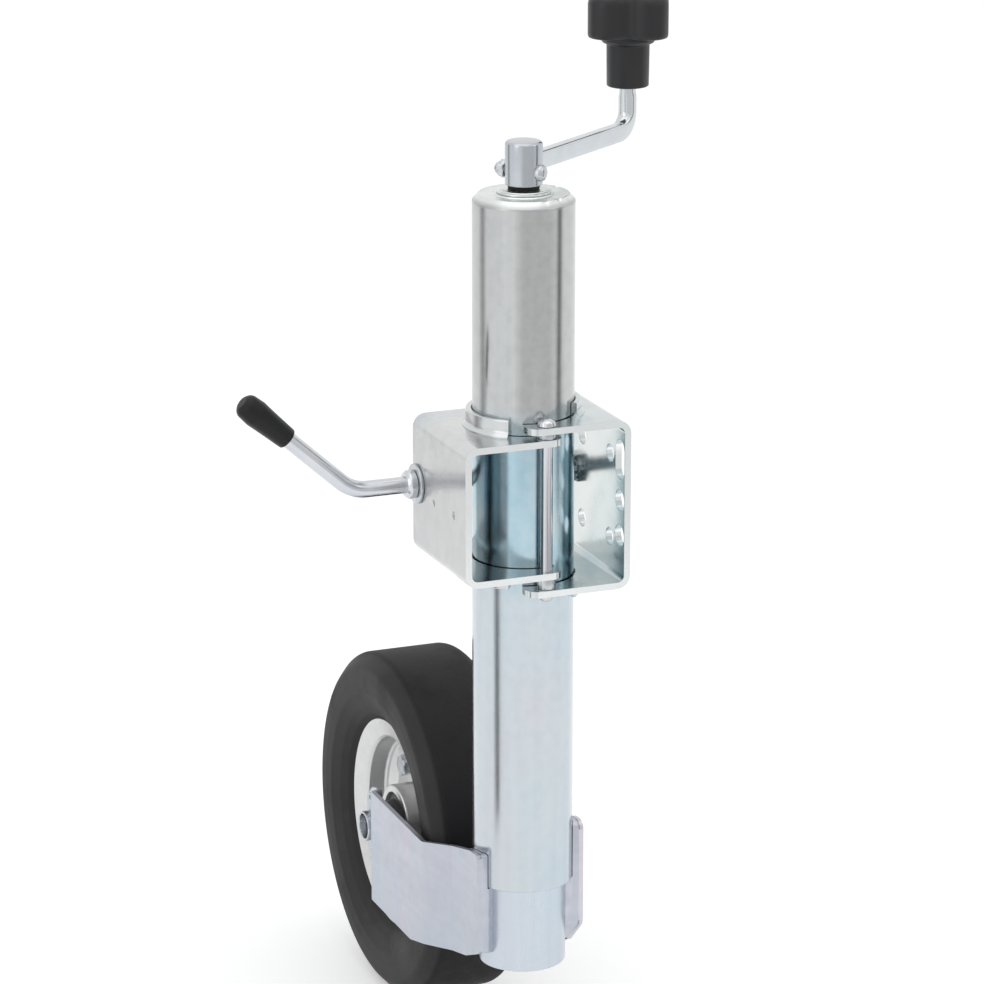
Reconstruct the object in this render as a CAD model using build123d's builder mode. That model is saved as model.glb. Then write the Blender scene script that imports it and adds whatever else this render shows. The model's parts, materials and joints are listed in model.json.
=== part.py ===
from build123d import *
import os
from math import cos, sin, radians

os.makedirs("parts", exist_ok=True)

# All sizes in millimetres. The origin is the centre of the four bracket bolts, on the
# face that lies against the drawbar. X points into the drawbar, Y to the rear, Z up.

tube_x = -50.5            # axis of the round mast
tube_r = 30.0             # 60 mm mast
tube_wall = 2.5
tube_top = 175.5
tube_end = -239.5
leg_r = 26.0              # 52 mm sliding leg
leg_wall = 2.5
leg_top = 118.0
leg_end = -292.0

plate = 4.0               # sheet of the bracket
half_depth = 42.5         # bracket half depth, front to back
outer_top, outer_end = 50.5, -51.5
inner_top, inner_end = 43.2, -41.0
clamp_x = -103.5          # outer face of the swinging half
bend_r = 8.0
pin_y, pin_r = -36.0, 3.6
screw_y, screw_z, screw_r = 35.6, 2.3, 5.0
bolt_y, bolt_z, bolt_hole_r = 20.8, 25.5, 5.5
collar_gap, collar_wall = 0.3, 3.5

trail = 166.0             # wheel axle behind the mast axis
wheel_z = -261.0
wheel_r = 110.0
tyre_half = 33.5
rim_r = 66.0              # edge of the rim flange
well_r = 54.0             # barrel of the rim
well_deep = 49.5          # foot of the barrel, where the discs turn out
hub_r, hub_wall, hub_half = 24.0, 5.0, 20.5
axle_r, axle_wall = 9.5, 1.5
bolt_ring_r = 37.0        # circle of the five rim bolts
rim_bolt_r = 4.0

fork_sheet = 3.0
fork_out = 34.4           # outer face of each arm beside the leg and at the axle
tyre_gap = 3.5            # between the tyre and each arm
fork_front = -13.0

crank_deg = 36.4          # which way the crank points at rest
crank_r = 118.7
hub_low, hub_high = 185.6, 211.0
cross_z = 193.2
arm_z = 197.0
crank_hub_r = 11.0
cross_r = 3.0
spindle_r = 8.0
spindle_end = -105.0
rod_r = 5.4               # round upright end of the crank
rod_top = 268.5
knob_low = 223.5
sleeve_len, sleeve_r = 31.1, 12.8
lobe_height = 25.9        # gripping lobes above the sleeve
lobe_at, lobe_r, lobe_core = 16.0, 12.6, 16.0

lever_bend_x = -144.5
lever_deg = 42.0
lever_len = 86.0

# what follows from those
tube_bore = tube_r - tube_wall
collar_in = tube_r + collar_gap
collar_out = collar_in + collar_wall
cap_top = tube_top + 5.5
flange_top = cap_top + 2.0
bearing_top = tube_top - 7.5
fork_in = fork_out - fork_sheet
fork_mid = fork_out - fork_sheet / 2
washer_in = fork_in - 2.4
bush_out = washer_in - 0.3
screw_face = clamp_x - 2.0
knob_neck = knob_low + sleeve_len
knob_top = knob_neck + lobe_height


def round_bar(r_out, r_in, z0, z1, x=tube_x, y=0.0):
    # upright tube or bar, made in the piece that is open
    with BuildSketch(Plane.XY.offset(z0)) as ring:
        with Locations((x, y)):
            Circle(r_out)
            if r_in:
                Circle(r_in, mode=Mode.SUBTRACT)
    extrude(ring.sketch, amount=z1 - z0)


def side_bar(r_out, r_in, x0, x1, y, z):
    # bar or tube lying along X
    with BuildSketch(Plane(origin=(x0, y, z), x_dir=(0, 1, 0), z_dir=(1, 0, 0))) as ring:
        Circle(r_out)
        if r_in:
            Circle(r_in, mode=Mode.SUBTRACT)
    extrude(ring.sketch, amount=x1 - x0)


def channel(web_x, tip_x, back_x, top, end):
    # pressed U of 4 mm sheet: web at web_x, flanges running to tip_x at the front and to back_x behind
    sign = 1 if tip_x > web_x else -1
    far = web_x + sign * 90
    with BuildSketch(Plane(origin=(0, half_depth, 0), x_dir=(1, 0, 0), z_dir=(0, -1, 0))) as section:
        with BuildLine():
            FilletPolyline((far, end + plate / 2), (web_x + sign * plate / 2, end + plate / 2),
                           (web_x + sign * plate / 2, top - plate / 2), (far, top - plate / 2),
                           radius=bend_r - plate / 2)
        trace(line_width=plate)
    extrude(section.sketch, amount=2 * half_depth)
    # what is kept of the flanges, seen from above
    with BuildSketch(Plane.XY.offset(end - 1)) as kept:
        with BuildLine():
            Polyline((web_x - sign, -half_depth), (tip_x, -half_depth), (tip_x, -26), (back_x, -26),
                     (back_x, half_depth), (web_x - sign, half_depth), close=True)
        make_face()
        fillet(vertices().filter_by_position(Axis.X, tip_x - 0.01, tip_x + 0.01)
               .filter_by_position(Axis.Y, -half_depth - 0.01, -half_depth + 0.01), radius=7)
    extrude(kept.sketch, amount=top - end + 2, mode=Mode.INTERSECT)
    with BuildSketch(Plane.XY.offset(end - 1)) as holes:
        with Locations((tube_x, 0)):
            Circle(tube_r + 1.0)
        with Locations((tube_x, pin_y)):
            Circle(pin_r + 0.06)
    extrude(holes.sketch, amount=top - end + 2, mode=Mode.SUBTRACT)


def collars(z_pairs, a0, a1):
    # turned lips that wrap the mast, from angle a0 to a1 about it
    for z0, z1 in z_pairs:
        turns = [radians(a0 + (a1 - a0) * i / 8) for i in range(9)]
        with BuildSketch(Plane.XY.offset(z0)) as lip:
            with Locations((tube_x, 0)):
                Circle(collar_out)
                Circle(collar_in, mode=Mode.SUBTRACT)
            with BuildLine():
                Polyline((tube_x, 0), *[(tube_x + 60 * cos(a), 60 * sin(a)) for a in turns], close=True)
            make_face(mode=Mode.INTERSECT)
        extrude(lip.sketch, amount=z1 - z0)


# bracket that bolts to the drawbar
with BuildPart() as mounting_bracket:
    channel(0.0, tube_x - 12.7, tube_x + 2.2, outer_top, outer_end)
    collars([(outer_top - plate, outer_top + 8.3), (outer_end - 8.3, outer_end + plate)], -45, 85)
    holes = [(-bolt_y, bolt_z), (bolt_y, bolt_z), (-bolt_y, -bolt_z), (bolt_y, -bolt_z)]
    web = Plane(origin=(-plate - 1, 0, 0), x_dir=(0, 1, 0), z_dir=(1, 0, 0))
    with BuildSketch(web):
        with Locations(*holes):
            Circle(bolt_hole_r)
        with Locations((-35.3, 0.4), (-35.3, -21.0)):
            Circle(6.5)
        with Locations((-35.3, 25.2)):
            SlotOverall(24.1, 13.0, rotation=90)
        with Locations((screw_y, screw_z)):
            Circle(screw_r + 0.4)
    extrude(amount=plate + 2, mode=Mode.SUBTRACT)

# swinging half of the clamp
with BuildPart() as clamp_bracket:
    channel(clamp_x, tube_x + 9.0, tube_x - 2.2, inner_top, inner_end)
    collars([(inner_top - plate, inner_top + 10), (inner_end - 8.5, inner_end + plate)], 95, 233)
    with BuildSketch(Plane(origin=(clamp_x - 1.5, 0, 0), x_dir=(0, 1, 0), z_dir=(1, 0, 0))):
        with Locations((screw_y, screw_z)):
            Circle(screw_r + 0.6)
            with Locations((6, 0)):
                Rectangle(12, 2 * screw_r + 1.2)
    extrude(amount=plate + 3, mode=Mode.SUBTRACT)

with BuildPart() as hinge_pin:
    with BuildSketch(Plane(origin=(tube_x, pin_y, 0), x_dir=(1, 0, 0), z_dir=(0, -1, 0))):
        with BuildLine():
            Polyline((0, outer_end - 4), (0, outer_top + 4.6))
            Spline((0, outer_top + 4.6), (pin_r + 0.6, outer_top + 3.2), (pin_r + 2.2, outer_top),
                   tangents=((1, 0), (0, -1)))
            Polyline((pin_r + 2.2, outer_top), (pin_r, outer_top), (pin_r, outer_end), (pin_r + 1.8, outer_end))
            Spline((pin_r + 1.8, outer_end), (pin_r + 0.3, outer_end - 2.8), (0, outer_end - 4),
                   tangents=((0, -1), (-1, 0)))
        make_face()
    revolve(axis=Axis((tube_x, pin_y, 0), (0, 0, 1)))

with BuildPart() as pin_spacer_upper:
    round_bar(pin_r + 2.0, pin_r + 0.05, inner_top, outer_top - plate, tube_x, pin_y)
with BuildPart() as pin_spacer_lower:
    round_bar(pin_r + 2.0, pin_r + 0.05, outer_end + plate, inner_end, tube_x, pin_y)

# weld nut behind the drawbar face, which the lever screws into
with BuildPart() as screw_nut:
    nut_x = -plate - 8.0
    with BuildSketch(Plane(origin=(nut_x, screw_y, screw_z), x_dir=(0, 1, 0), z_dir=(1, 0, 0))):
        RegularPolygon(screw_r + 3.5, 6, major_radius=False, rotation=30)
        Circle(screw_r + 0.05, mode=Mode.SUBTRACT)
    extrude(amount=8)
    chamfer(edges().filter_by_position(Axis.X, nut_x - 0.1, nut_x + 0.1).filter_by(GeomType.LINE), length=0.8)

with BuildPart() as clamp_washer:
    side_bar(screw_r + 7.0, screw_r + 0.3, screw_face, clamp_x, screw_y, screw_z)
    fillet(edges().filter_by_position(Axis.X, screw_face - 0.1, screw_face + 0.1).sort_by(SortBy.LENGTH)[-1],
           radius=0.7)

# cranked clamp lever and its screw, in one bar
grip_dir = Vector(-cos(radians(lever_deg)), 0, sin(radians(lever_deg)))
bend_at = Vector(lever_bend_x, screw_y, screw_z)
with BuildPart() as clamp_lever:
    with BuildLine() as lever_path:
        FilletPolyline((-3.0, screw_y, screw_z), tuple(bend_at), tuple(bend_at + grip_dir * lever_len), radius=24)
    with BuildSketch(Plane(origin=(-3.0, screw_y, screw_z), z_dir=(-1, 0, 0))):
        Circle(screw_r)
    sweep()

with BuildPart() as lever_boss:
    boss_x = screw_face - 6.3
    side_bar(screw_r + 3.7, screw_r + 0.02, boss_x, screw_face, screw_y, screw_z)
    chamfer(edges().filter_by_position(Axis.X, boss_x - 0.1, boss_x + 0.1).sort_by(SortBy.LENGTH)[-1], length=1.6)

grip_plane = Plane(origin=tuple(bend_at), x_dir=tuple(grip_dir), z_dir=(0, -1, 0))
with BuildPart() as lever_grip:
    with BuildSketch(grip_plane):
        with BuildLine():
            Polyline((lever_len + 0.3, 0), (lever_len + 0.3, screw_r + 0.05),
                     (lever_len - 32.5, screw_r + 0.05), (lever_len - 32.5, screw_r + 1.6))
            Spline((lever_len - 32.5, screw_r + 1.6), (lever_len - 20, screw_r + 2.3),
                   (lever_len - 7.5, screw_r + 3.2), (lever_len + 0.9, screw_r + 1.7), (lever_len + 4.2, 0),
                   tangents=((1, 0.05), (0, -1)))
            Line((lever_len + 4.2, 0), (lever_len + 0.3, 0))
        make_face()
    revolve(axis=Axis(tuple(bend_at), tuple(grip_dir)))

# mast
with BuildPart() as outer_tube:
    round_bar(tube_r, tube_bore, tube_end, tube_top)
with BuildPart() as top_cap:
    round_bar(tube_r, spindle_r + 0.05, tube_top, cap_top)
    fillet(edges().filter_by_position(Axis.Z, cap_top - 0.1, cap_top + 0.1).sort_by(SortBy.LENGTH)[-1], radius=4.6)
    round_bar(tube_bore - 0.05, spindle_r + 0.05, bearing_top, tube_top)
with BuildPart() as top_flange:
    round_bar(spindle_r + 8.0, spindle_r + 0.1, cap_top, flange_top)
    chamfer(edges().filter_by_position(Axis.Z, flange_top - 0.1, flange_top + 0.1).sort_by(SortBy.LENGTH)[-1],
            length=0.6)
with BuildPart() as guide_bush:
    round_bar(tube_bore - 0.04, leg_r + 0.07, tube_end, tube_end + 34)
with BuildPart() as guide_strips:
    for side in (-1, 1):
        with BuildSketch(Plane.XY.offset(tube_end + 36)):
            with Locations((tube_x, 0)):
                Circle(tube_bore - 0.05)
                Circle(leg_r + 0.4, mode=Mode.SUBTRACT)
            with Locations((tube_x + side * (tube_bore - 0.5), 0)):
                Rectangle(6, 6, mode=Mode.INTERSECT)
        extrude(amount=bearing_top - tube_end - 40)

# crank, spindle and what turns with them
arm_dir = Vector(cos(radians(crank_deg)), sin(radians(crank_deg)), 0)
cross_dir = Vector(sin(radians(crank_deg)), -cos(radians(crank_deg)), 0)
hub_at = Vector(tube_x, 0, 0)
with BuildPart() as seal_ring:
    round_bar(spindle_r + 1.3, spindle_r + 0.1, flange_top, hub_low)
with BuildPart() as spindle:
    round_bar(spindle_r, 0, spindle_end, hub_high - 6.0)
    chamfer(edges().filter_by_position(Axis.Z, spindle_end - 0.1, spindle_end + 0.1), length=1.5)
    with BuildSketch(Plane(origin=tuple(hub_at + Vector(0, 0, cross_z) - cross_dir * 20), z_dir=tuple(cross_dir))):
        Circle(cross_r + 0.05)
    extrude(amount=40, mode=Mode.SUBTRACT)
with BuildPart() as thrust_collar:
    round_bar(spindle_r + 6.0, spindle_r + 0.02, bearing_top - 11.0, bearing_top - 4.4)
with BuildPart() as thrust_bearing:
    round_bar(spindle_r + 9.0, spindle_r + 0.4, bearing_top - 4.4, bearing_top)
with BuildPart() as crank_hub:
    round_bar(crank_hub_r, 0, hub_low, hub_high)
    fillet(edges().filter_by_position(Axis.Z, hub_high - 0.1, hub_high + 0.1), radius=2.4)
    with BuildSketch(Plane.XY.offset(hub_low)):
        with Locations((tube_x, 0)):
            Circle(spindle_r + 0.03)
    extrude(amount=hub_high - hub_low - 5.8, mode=Mode.SUBTRACT)
    with BuildSketch(Plane(origin=tuple(hub_at + Vector(0, 0, cross_z) - cross_dir * 20), z_dir=tuple(cross_dir))):
        Circle(cross_r + 0.05)
    extrude(amount=40, mode=Mode.SUBTRACT)

with BuildPart() as crank_arm:
    start = hub_at + arm_dir * (crank_hub_r - 2.4) + Vector(0, 0, arm_z)
    corner = hub_at + arm_dir * crank_r + Vector(0, 0, arm_z)
    with BuildLine() as arm_path:
        FilletPolyline(tuple(start), tuple(corner), tuple(corner + Vector(0, 0, 22)), radius=11)
    with BuildSketch(Plane(origin=tuple(start), x_dir=(0, 0, 1), z_dir=tuple(arm_dir))):
        RectangleRounded(2 * rod_r, 7.8, 2.4)
    sweep()
    round_bar(rod_r, 0, arm_z + 14, rod_top, corner.X, corner.Y)
    # the arm's end follows the round hub it is welded to
    with BuildSketch(Plane.XY.offset(arm_z - 8)):
        with Locations((tube_x, 0)):
            Circle(crank_hub_r + 0.02)
    extrude(amount=16, mode=Mode.SUBTRACT)

with BuildPart() as crank_bolt:
    tip = hub_at + Vector(0, 0, cross_z)
    with BuildSketch(Plane(origin=tuple(tip - cross_dir * (crank_hub_r + 7.4)), z_dir=tuple(cross_dir))):
        Circle(cross_r)
    extrude(amount=2 * crank_hub_r + 8.0)
    with BuildSketch(Plane(origin=tuple(tip + cross_dir * (crank_hub_r + 0.1)), z_dir=tuple(cross_dir))):
        Circle(cross_r + 1.9)
    extrude(amount=3.6)
    fillet(faces().sort_by(Axis(tuple(tip), tuple(cross_dir)))[-1].edges(), radius=2.6)
with BuildPart() as crank_nut:
    with BuildSketch(Plane(origin=tuple(tip - cross_dir * (crank_hub_r + 6.0)), z_dir=tuple(cross_dir))):
        RegularPolygon(cross_r + 2.0, 6, major_radius=False)
        Circle(cross_r + 0.02, mode=Mode.SUBTRACT)
    extrude(amount=5.8)
    chamfer(faces().sort_by(Axis(tuple(tip), tuple(cross_dir)))[0].edges().filter_by(GeomType.LINE), length=0.9)

# loose handle on the crank's upright end
knob_x, knob_y = tube_x + crank_r * cos(radians(crank_deg)), crank_r * sin(radians(crank_deg))
clip_z = rod_top - 5.5
with BuildPart() as knob_clip:
    round_bar(rod_r + 2.4, rod_r + 0.02, clip_z, clip_z + 1.6, knob_x, knob_y)
with BuildPart() as knob:
    # sleeve with its collar, below the gripping lobes
    with BuildSketch(Plane(origin=(knob_x, knob_y, 0), x_dir=(1, 0, 0), z_dir=(0, -1, 0))):
        with BuildLine():
            Polyline((0, knob_low), (sleeve_r - 0.2, knob_low), (sleeve_r + 0.1, knob_neck - 5.4),
                     (sleeve_r + 2.6, knob_neck - 4.6), (sleeve_r + 3.9, knob_neck - 2.8),
                     (sleeve_r + 3.9, knob_neck + 1), (0, knob_neck + 1), close=True)
        make_face()
    revolve(axis=Axis((knob_x, knob_y, 0), (0, 0, 1)))
    with BuildSketch(Plane.XY.offset(knob_neck)):
        with Locations((knob_x, knob_y)):
            Circle(lobe_core)
            with PolarLocations(lobe_at, 4, start_angle=-159):
                Circle(lobe_r)
        fillet(vertices(), radius=6)
    extrude(amount=lobe_height)
    fillet(faces().sort_by(Axis.Z)[-1].edges(), radius=min(6.0, lobe_height / 3))
    # bore for the rod, and the pocket that its clip and end turn in
    for r, z0, z1 in ((rod_r + 0.06, knob_low - 1, clip_z - 0.6), (rod_r + 3.2, clip_z - 0.6, rod_top + 3.5)):
        with BuildSketch(Plane.XY.offset(z0)):
            with Locations((knob_x, knob_y)):
                Circle(r)
        extrude(amount=z1 - z0, mode=Mode.SUBTRACT)

# travelling nut inside the mast
groove_z = leg_top - 14.0
with BuildPart() as nut_carrier:
    carrier_r = leg_r - leg_wall - 0.08
    nut_r = spindle_r + 7.0
    round_bar(carrier_r, nut_r + 0.02, leg_top - 22.0, leg_top + 0.4)
    round_bar(tube_bore - 0.35, nut_r + 0.02, leg_top + 0.4, leg_top + 6.4)
    with BuildSketch(Plane.XY.offset(leg_top)):
        for side in (-1, 1):
            with Locations((tube_x + side * (tube_bore - 0.1), 0)):
                Rectangle(3.2, 7.0)
    extrude(amount=8, mode=Mode.SUBTRACT)
    with BuildSketch(Plane.XY.offset(groove_z)):
        with Locations((tube_x, 0)):
            Circle(carrier_r + 1)
            Circle(carrier_r - 3.42, mode=Mode.SUBTRACT)
    extrude(amount=3.2, mode=Mode.SUBTRACT)
with BuildPart() as spindle_nut:
    round_bar(nut_r, spindle_r + 0.06, leg_top - 28.0, leg_top + 6.4)

# leg that swivels under the nut, with its fork
with BuildPart() as inner_tube:
    round_bar(leg_r, leg_r - leg_wall, leg_end, leg_top)
with BuildPart() as retaining_ring:
    round_bar(leg_r - leg_wall - 0.01, carrier_r - 3.12, groove_z + 0.4, groove_z + 2.8)


# front end of each arm: its top, its bottom and the radius of those two corners
arm_fronts = {-1: (leg_end + 74.0, leg_end + 11.0, 2.5), 1: (leg_end + 87.0, leg_end + 21.0, 7.0)}


def fork_plate(side):
    # pressed arm: close to the leg at the front, wide past the tyre, stepped in again at the axle
    front_top, front_low, front_r = arm_fronts[side]
    wide = tyre_half + tyre_gap + fork_sheet / 2
    rear = trail + 12.5
    with BuildSketch(Plane.XY.offset(wheel_z - 60)) as section:
        with BuildLine():
            FilletPolyline(*[(tube_x + side * x, y) for x, y in
                             ((fork_mid, fork_front), (fork_mid, 28), (wide, 63), (wide + 2.0, trail - 15.5),
                              (fork_mid, trail - 8.5), (fork_mid, rear))], radius=3.0)
        trace(line_width=fork_sheet)
    extrude(section.sketch, amount=130)
    with BuildSketch(Plane(origin=(tube_x - 60, 0, 0), x_dir=(0, 1, 0), z_dir=(1, 0, 0))) as outline:
        with BuildLine():
            Polyline((fork_front, front_top), (-1, front_top - 0.8), (66, wheel_z + 25),
                     (trail - 18, wheel_z + 29), (trail + 2, wheel_z + 25), (rear, wheel_z + 15),
                     (rear, wheel_z - 15), (trail - 8, wheel_z - 43.5), (trail - 81, wheel_z - 46.5),
                     (6, leg_end + 3), (fork_front, front_low), close=True)
        make_face()
        fillet(vertices().filter_by_position(Axis.X, -5, rear + 1), radius=7)
        fillet(vertices().filter_by_position(Axis.X, fork_front - 0.01, fork_front + 0.01), radius=front_r)
        with Locations((trail, wheel_z)):
            Circle(axle_r + 0.06, mode=Mode.SUBTRACT)
    extrude(outline.sketch, amount=120, mode=Mode.INTERSECT)


with BuildPart() as fork_left:
    fork_plate(-1)
with BuildPart() as fork_right:
    fork_plate(1)
with BuildPart() as fork_spacers:
    # welded pads that join the leg to the arms
    for side in (-1, 1):
        with BuildSketch(Plane.XY.offset(leg_end + 6.0)):
            with Locations((tube_x + side * (fork_in - 3.5 - 0.005), 0)):
                Rectangle(7.0, 17)
        extrude(amount=tube_end - leg_end - 7.5)
        # their lower ends follow the arm's edge
        front_low = arm_fronts[side][1]
        with BuildSketch(Plane(origin=(tube_x + side * 15, 0, 0), x_dir=(0, 1, 0), z_dir=(1, 0, 0))):
            with BuildLine():
                Polyline((fork_front - 2, leg_end), (fork_front - 2, front_low), (fork_front, front_low),
                         (6, leg_end + 3), (30, leg_end), close=True)
            make_face()
        extrude(amount=25 * side, mode=Mode.SUBTRACT)
    with BuildSketch(Plane.XY.offset(leg_end + 5.0)):
        with Locations((tube_x, 0)):
            Circle(leg_r)
    extrude(amount=tube_end - leg_end - 4.0, mode=Mode.SUBTRACT)

# axle and its split pins
pin_x = fork_out + 1.9
with BuildPart() as axle_tube:
    side_bar(axle_r, axle_r - axle_wall, tube_x - fork_out - 7.0, tube_x + fork_out + 7.0, trail, wheel_z)
    for side in (-1, 1):
        with BuildSketch(Plane(origin=(tube_x + side * pin_x, trail, wheel_z - axle_r - 2.5), z_dir=(0, 0, 1))):
            Circle(1.8)
        extrude(amount=2 * axle_r + 5, mode=Mode.SUBTRACT)
with BuildPart() as split_pins:
    for side in (-1, 1):
        px = tube_x + side * pin_x
        round_bar(1.7, 0, wheel_z - axle_r - 17.5, wheel_z + axle_r + 7.5, px, trail)
        with Locations(Location((px, trail, wheel_z + axle_r + 9.1), (0, 90, 0))):
            Torus(2.5, 1.1)
with BuildPart() as axle_washers:
    for side in (-1, 1):
        x0 = tube_x + side * (washer_in + 1.2)
        side_bar(axle_r + 4.5, axle_r + 0.06, x0 - 1.2, x0 + 1.2, trail, wheel_z)

# wheel
wheel_plane = Plane(origin=(tube_x, trail, wheel_z), x_dir=(1, 0, 0), z_dir=(0, -1, 0))
wheel_axis = Axis((tube_x, trail, wheel_z), (1, 0, 0))
rim_out = 23.8            # half width over the rim flanges


def rim_profile(side):
    with BuildSketch(wheel_plane) as section:
        with BuildLine():
            FilletPolyline(*[(side * x, r) for x, r in
                             ((1, hub_r - 0.5), (1, well_deep - 5.0), (6, well_deep - 0.5), (6, well_r - 0.6),
                              (18.6, well_r + 0.5), (rim_out, rim_r))], radius=1.4)
        trace(line_width=2.0)
        with BuildLine():
            Polyline((0, 0), (side * 40, 0), (side * 40, hub_r + 0.06), (0, hub_r + 0.06), close=True)
        make_face(mode=Mode.SUBTRACT)
    revolve(section.sketch, axis=wheel_axis)
    with BuildSketch(Plane(origin=(tube_x - 12, trail, wheel_z), x_dir=(0, 1, 0), z_dir=(1, 0, 0))) as holes:
        with PolarLocations(bolt_ring_r, 5, start_angle=50):
            Circle(rim_bolt_r + 0.1)
    extrude(holes.sketch, amount=24, mode=Mode.SUBTRACT)


with BuildPart() as rim_left:
    rim_profile(-1)
with BuildPart() as rim_right:
    rim_profile(1)
with BuildPart() as rim_bolts:
    with BuildSketch(Plane(origin=(tube_x - 2.0, trail, wheel_z), x_dir=(0, 1, 0), z_dir=(1, 0, 0))):
        with PolarLocations(bolt_ring_r, 5, start_angle=50):
            Circle(rim_bolt_r)
    extrude(amount=10.6)
    for x0, depth in ((-7.3, 5.3), (2.0, 6.4)):
        with BuildSketch(Plane(origin=(tube_x + x0, trail, wheel_z), x_dir=(0, 1, 0), z_dir=(1, 0, 0))):
            with PolarLocations(bolt_ring_r, 5, start_angle=50):
                RegularPolygon(rim_bolt_r + 2.5, 6, major_radius=False)
        extrude(amount=depth)
with BuildPart() as wheel_hub:
    side_bar(hub_r, hub_r - hub_wall, tube_x - hub_half, tube_x + hub_half, trail, wheel_z)
with BuildPart() as hub_bushes:
    bush_r = hub_r - hub_wall - 0.04
    for side in (-1, 1):
        with BuildSketch(wheel_plane):
            with BuildLine():
                Polyline(*[(side * x, r) for x, r in
                           ((bush_out, axle_r + 0.06), (bush_out, axle_r + 3.7), (hub_half - 2.1, axle_r + 5.1),
                            (hub_half - 2.1, bush_r), (2.0, bush_r), (2.0, axle_r + 0.06))], close=True)
            make_face()
        revolve(axis=wheel_axis)

# solid tyre: foot in the rim's well, side walls out past the flanges, flat tread
bead_r = rim_r + 1.6
foot_r = well_r + 1.8
shoulder = 8.5
wall_r = wheel_r - shoulder
side_r = bead_r + 0.72 * (wall_r - bead_r)
with BuildPart() as tyre:
    with BuildSketch(wheel_plane):
        with BuildLine():
            Polyline((-rim_out + 1.2, bead_r), (-17.4, foot_r), (17.4, foot_r), (rim_out - 1.2, bead_r))
            Spline((rim_out - 1.2, bead_r), (tyre_half - 7.0, bead_r + 1.8),
                   (tyre_half - 1.9, bead_r + 0.47 * (side_r - bead_r)), (tyre_half, side_r),
                   tangents=((1, 0.1), (0, 1)))
            Line((tyre_half, side_r), (tyre_half, wall_r))
            RadiusArc((tyre_half, wall_r), (tyre_half - shoulder, wheel_r), -shoulder)
            Line((tyre_half - shoulder, wheel_r), (shoulder - tyre_half, wheel_r))
            RadiusArc((shoulder - tyre_half, wheel_r), (-tyre_half, wall_r), -shoulder)
            Line((-tyre_half, wall_r), (-tyre_half, side_r))
            Spline((-tyre_half, side_r), (1.9 - tyre_half, bead_r + 0.47 * (side_r - bead_r)),
                   (7.0 - tyre_half, bead_r + 1.8), (1.2 - rim_out, bead_r), tangents=((0, -1), (1, -0.1)))
        make_face()
    revolve(axis=wheel_axis)

pieces = dict(
    mounting_bracket=mounting_bracket, clamp_bracket=clamp_bracket, hinge_pin=hinge_pin,
    pin_spacer_upper=pin_spacer_upper, pin_spacer_lower=pin_spacer_lower, screw_nut=screw_nut,
    clamp_washer=clamp_washer, clamp_lever=clamp_lever, lever_boss=lever_boss, lever_grip=lever_grip,
    outer_tube=outer_tube, top_cap=top_cap, top_flange=top_flange, guide_bush=guide_bush,
    guide_strips=guide_strips, seal_ring=seal_ring, spindle=spindle, thrust_collar=thrust_collar,
    thrust_bearing=thrust_bearing, crank_hub=crank_hub, crank_arm=crank_arm, crank_bolt=crank_bolt,
    crank_nut=crank_nut, knob_clip=knob_clip, knob=knob, nut_carrier=nut_carrier, spindle_nut=spindle_nut,
    inner_tube=inner_tube, retaining_ring=retaining_ring, fork_left=fork_left, fork_right=fork_right,
    fork_spacers=fork_spacers, axle_tube=axle_tube, split_pins=split_pins, axle_washers=axle_washers,
    rim_left=rim_left, rim_right=rim_right, rim_bolts=rim_bolts, wheel_hub=wheel_hub,
    hub_bushes=hub_bushes, tyre=tyre,
)
for name, piece in pieces.items():
    piece.part.label = name
    export_step(piece.part, f"parts/{name}.step")
print(len(pieces), "pieces written")
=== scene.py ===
import bpy
import bmesh
import json
from math import atan2, cos, pi, radians, sin, sqrt, tan
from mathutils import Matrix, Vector


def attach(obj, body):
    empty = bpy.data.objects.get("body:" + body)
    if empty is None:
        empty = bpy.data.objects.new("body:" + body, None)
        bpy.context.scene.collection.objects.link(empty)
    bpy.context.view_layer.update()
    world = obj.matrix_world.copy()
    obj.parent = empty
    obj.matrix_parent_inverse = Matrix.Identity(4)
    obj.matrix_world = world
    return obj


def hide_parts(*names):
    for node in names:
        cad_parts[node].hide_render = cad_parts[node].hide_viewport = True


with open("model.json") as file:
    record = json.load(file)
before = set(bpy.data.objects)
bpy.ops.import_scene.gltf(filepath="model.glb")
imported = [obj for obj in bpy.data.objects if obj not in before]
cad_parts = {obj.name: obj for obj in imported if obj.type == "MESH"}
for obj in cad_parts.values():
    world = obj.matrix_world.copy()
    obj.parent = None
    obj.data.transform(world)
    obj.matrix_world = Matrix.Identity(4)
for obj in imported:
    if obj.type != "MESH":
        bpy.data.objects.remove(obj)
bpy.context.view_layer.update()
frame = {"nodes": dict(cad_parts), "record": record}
nodeBodies = {node: body for body, members in frame["record"]["behaviour"]["bodies"].items() for node in members}

mm = 0.001
mastX = -50.5  # axis of the mast, mm from the bolting face
axleAt = Vector((mastX, 166, -261))
across, rearward, upward = Vector((1, 0, 0)), Vector((0, 1, 0)), Vector((0, 0, 1))


# small node tools

def feed(tree, made, values):  # at0, at1 and so on count the inputs, any other key names one
    for key, value in values.items():
        socket = made.inputs[int(key[2:]) if key[:2] == "at" else key.replace("_", " ")]
        if isinstance(value, bpy.types.NodeSocket):
            tree.links.new(value, socket)
        else:
            socket.default_value = value
    return made


def put(tree, kind, options=None, **values):
    made = tree.nodes.new("ShaderNode" + kind)
    for key, value in (options or {}).items():
        setattr(made, key, value)
    return feed(tree, made, values)


def math(tree, how, a, b=0.0, clamp=False):
    return put(tree, "Math", {"operation": how, "use_clamp": clamp}, at0=a, at1=b).outputs[0]


def plus(tree, a, b, clamp=False):
    return math(tree, "ADD", a, b, clamp)


def minus(tree, a, b):
    return math(tree, "SUBTRACT", a, b)


def times(tree, a, b):
    return math(tree, "MULTIPLY", a, b)


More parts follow.
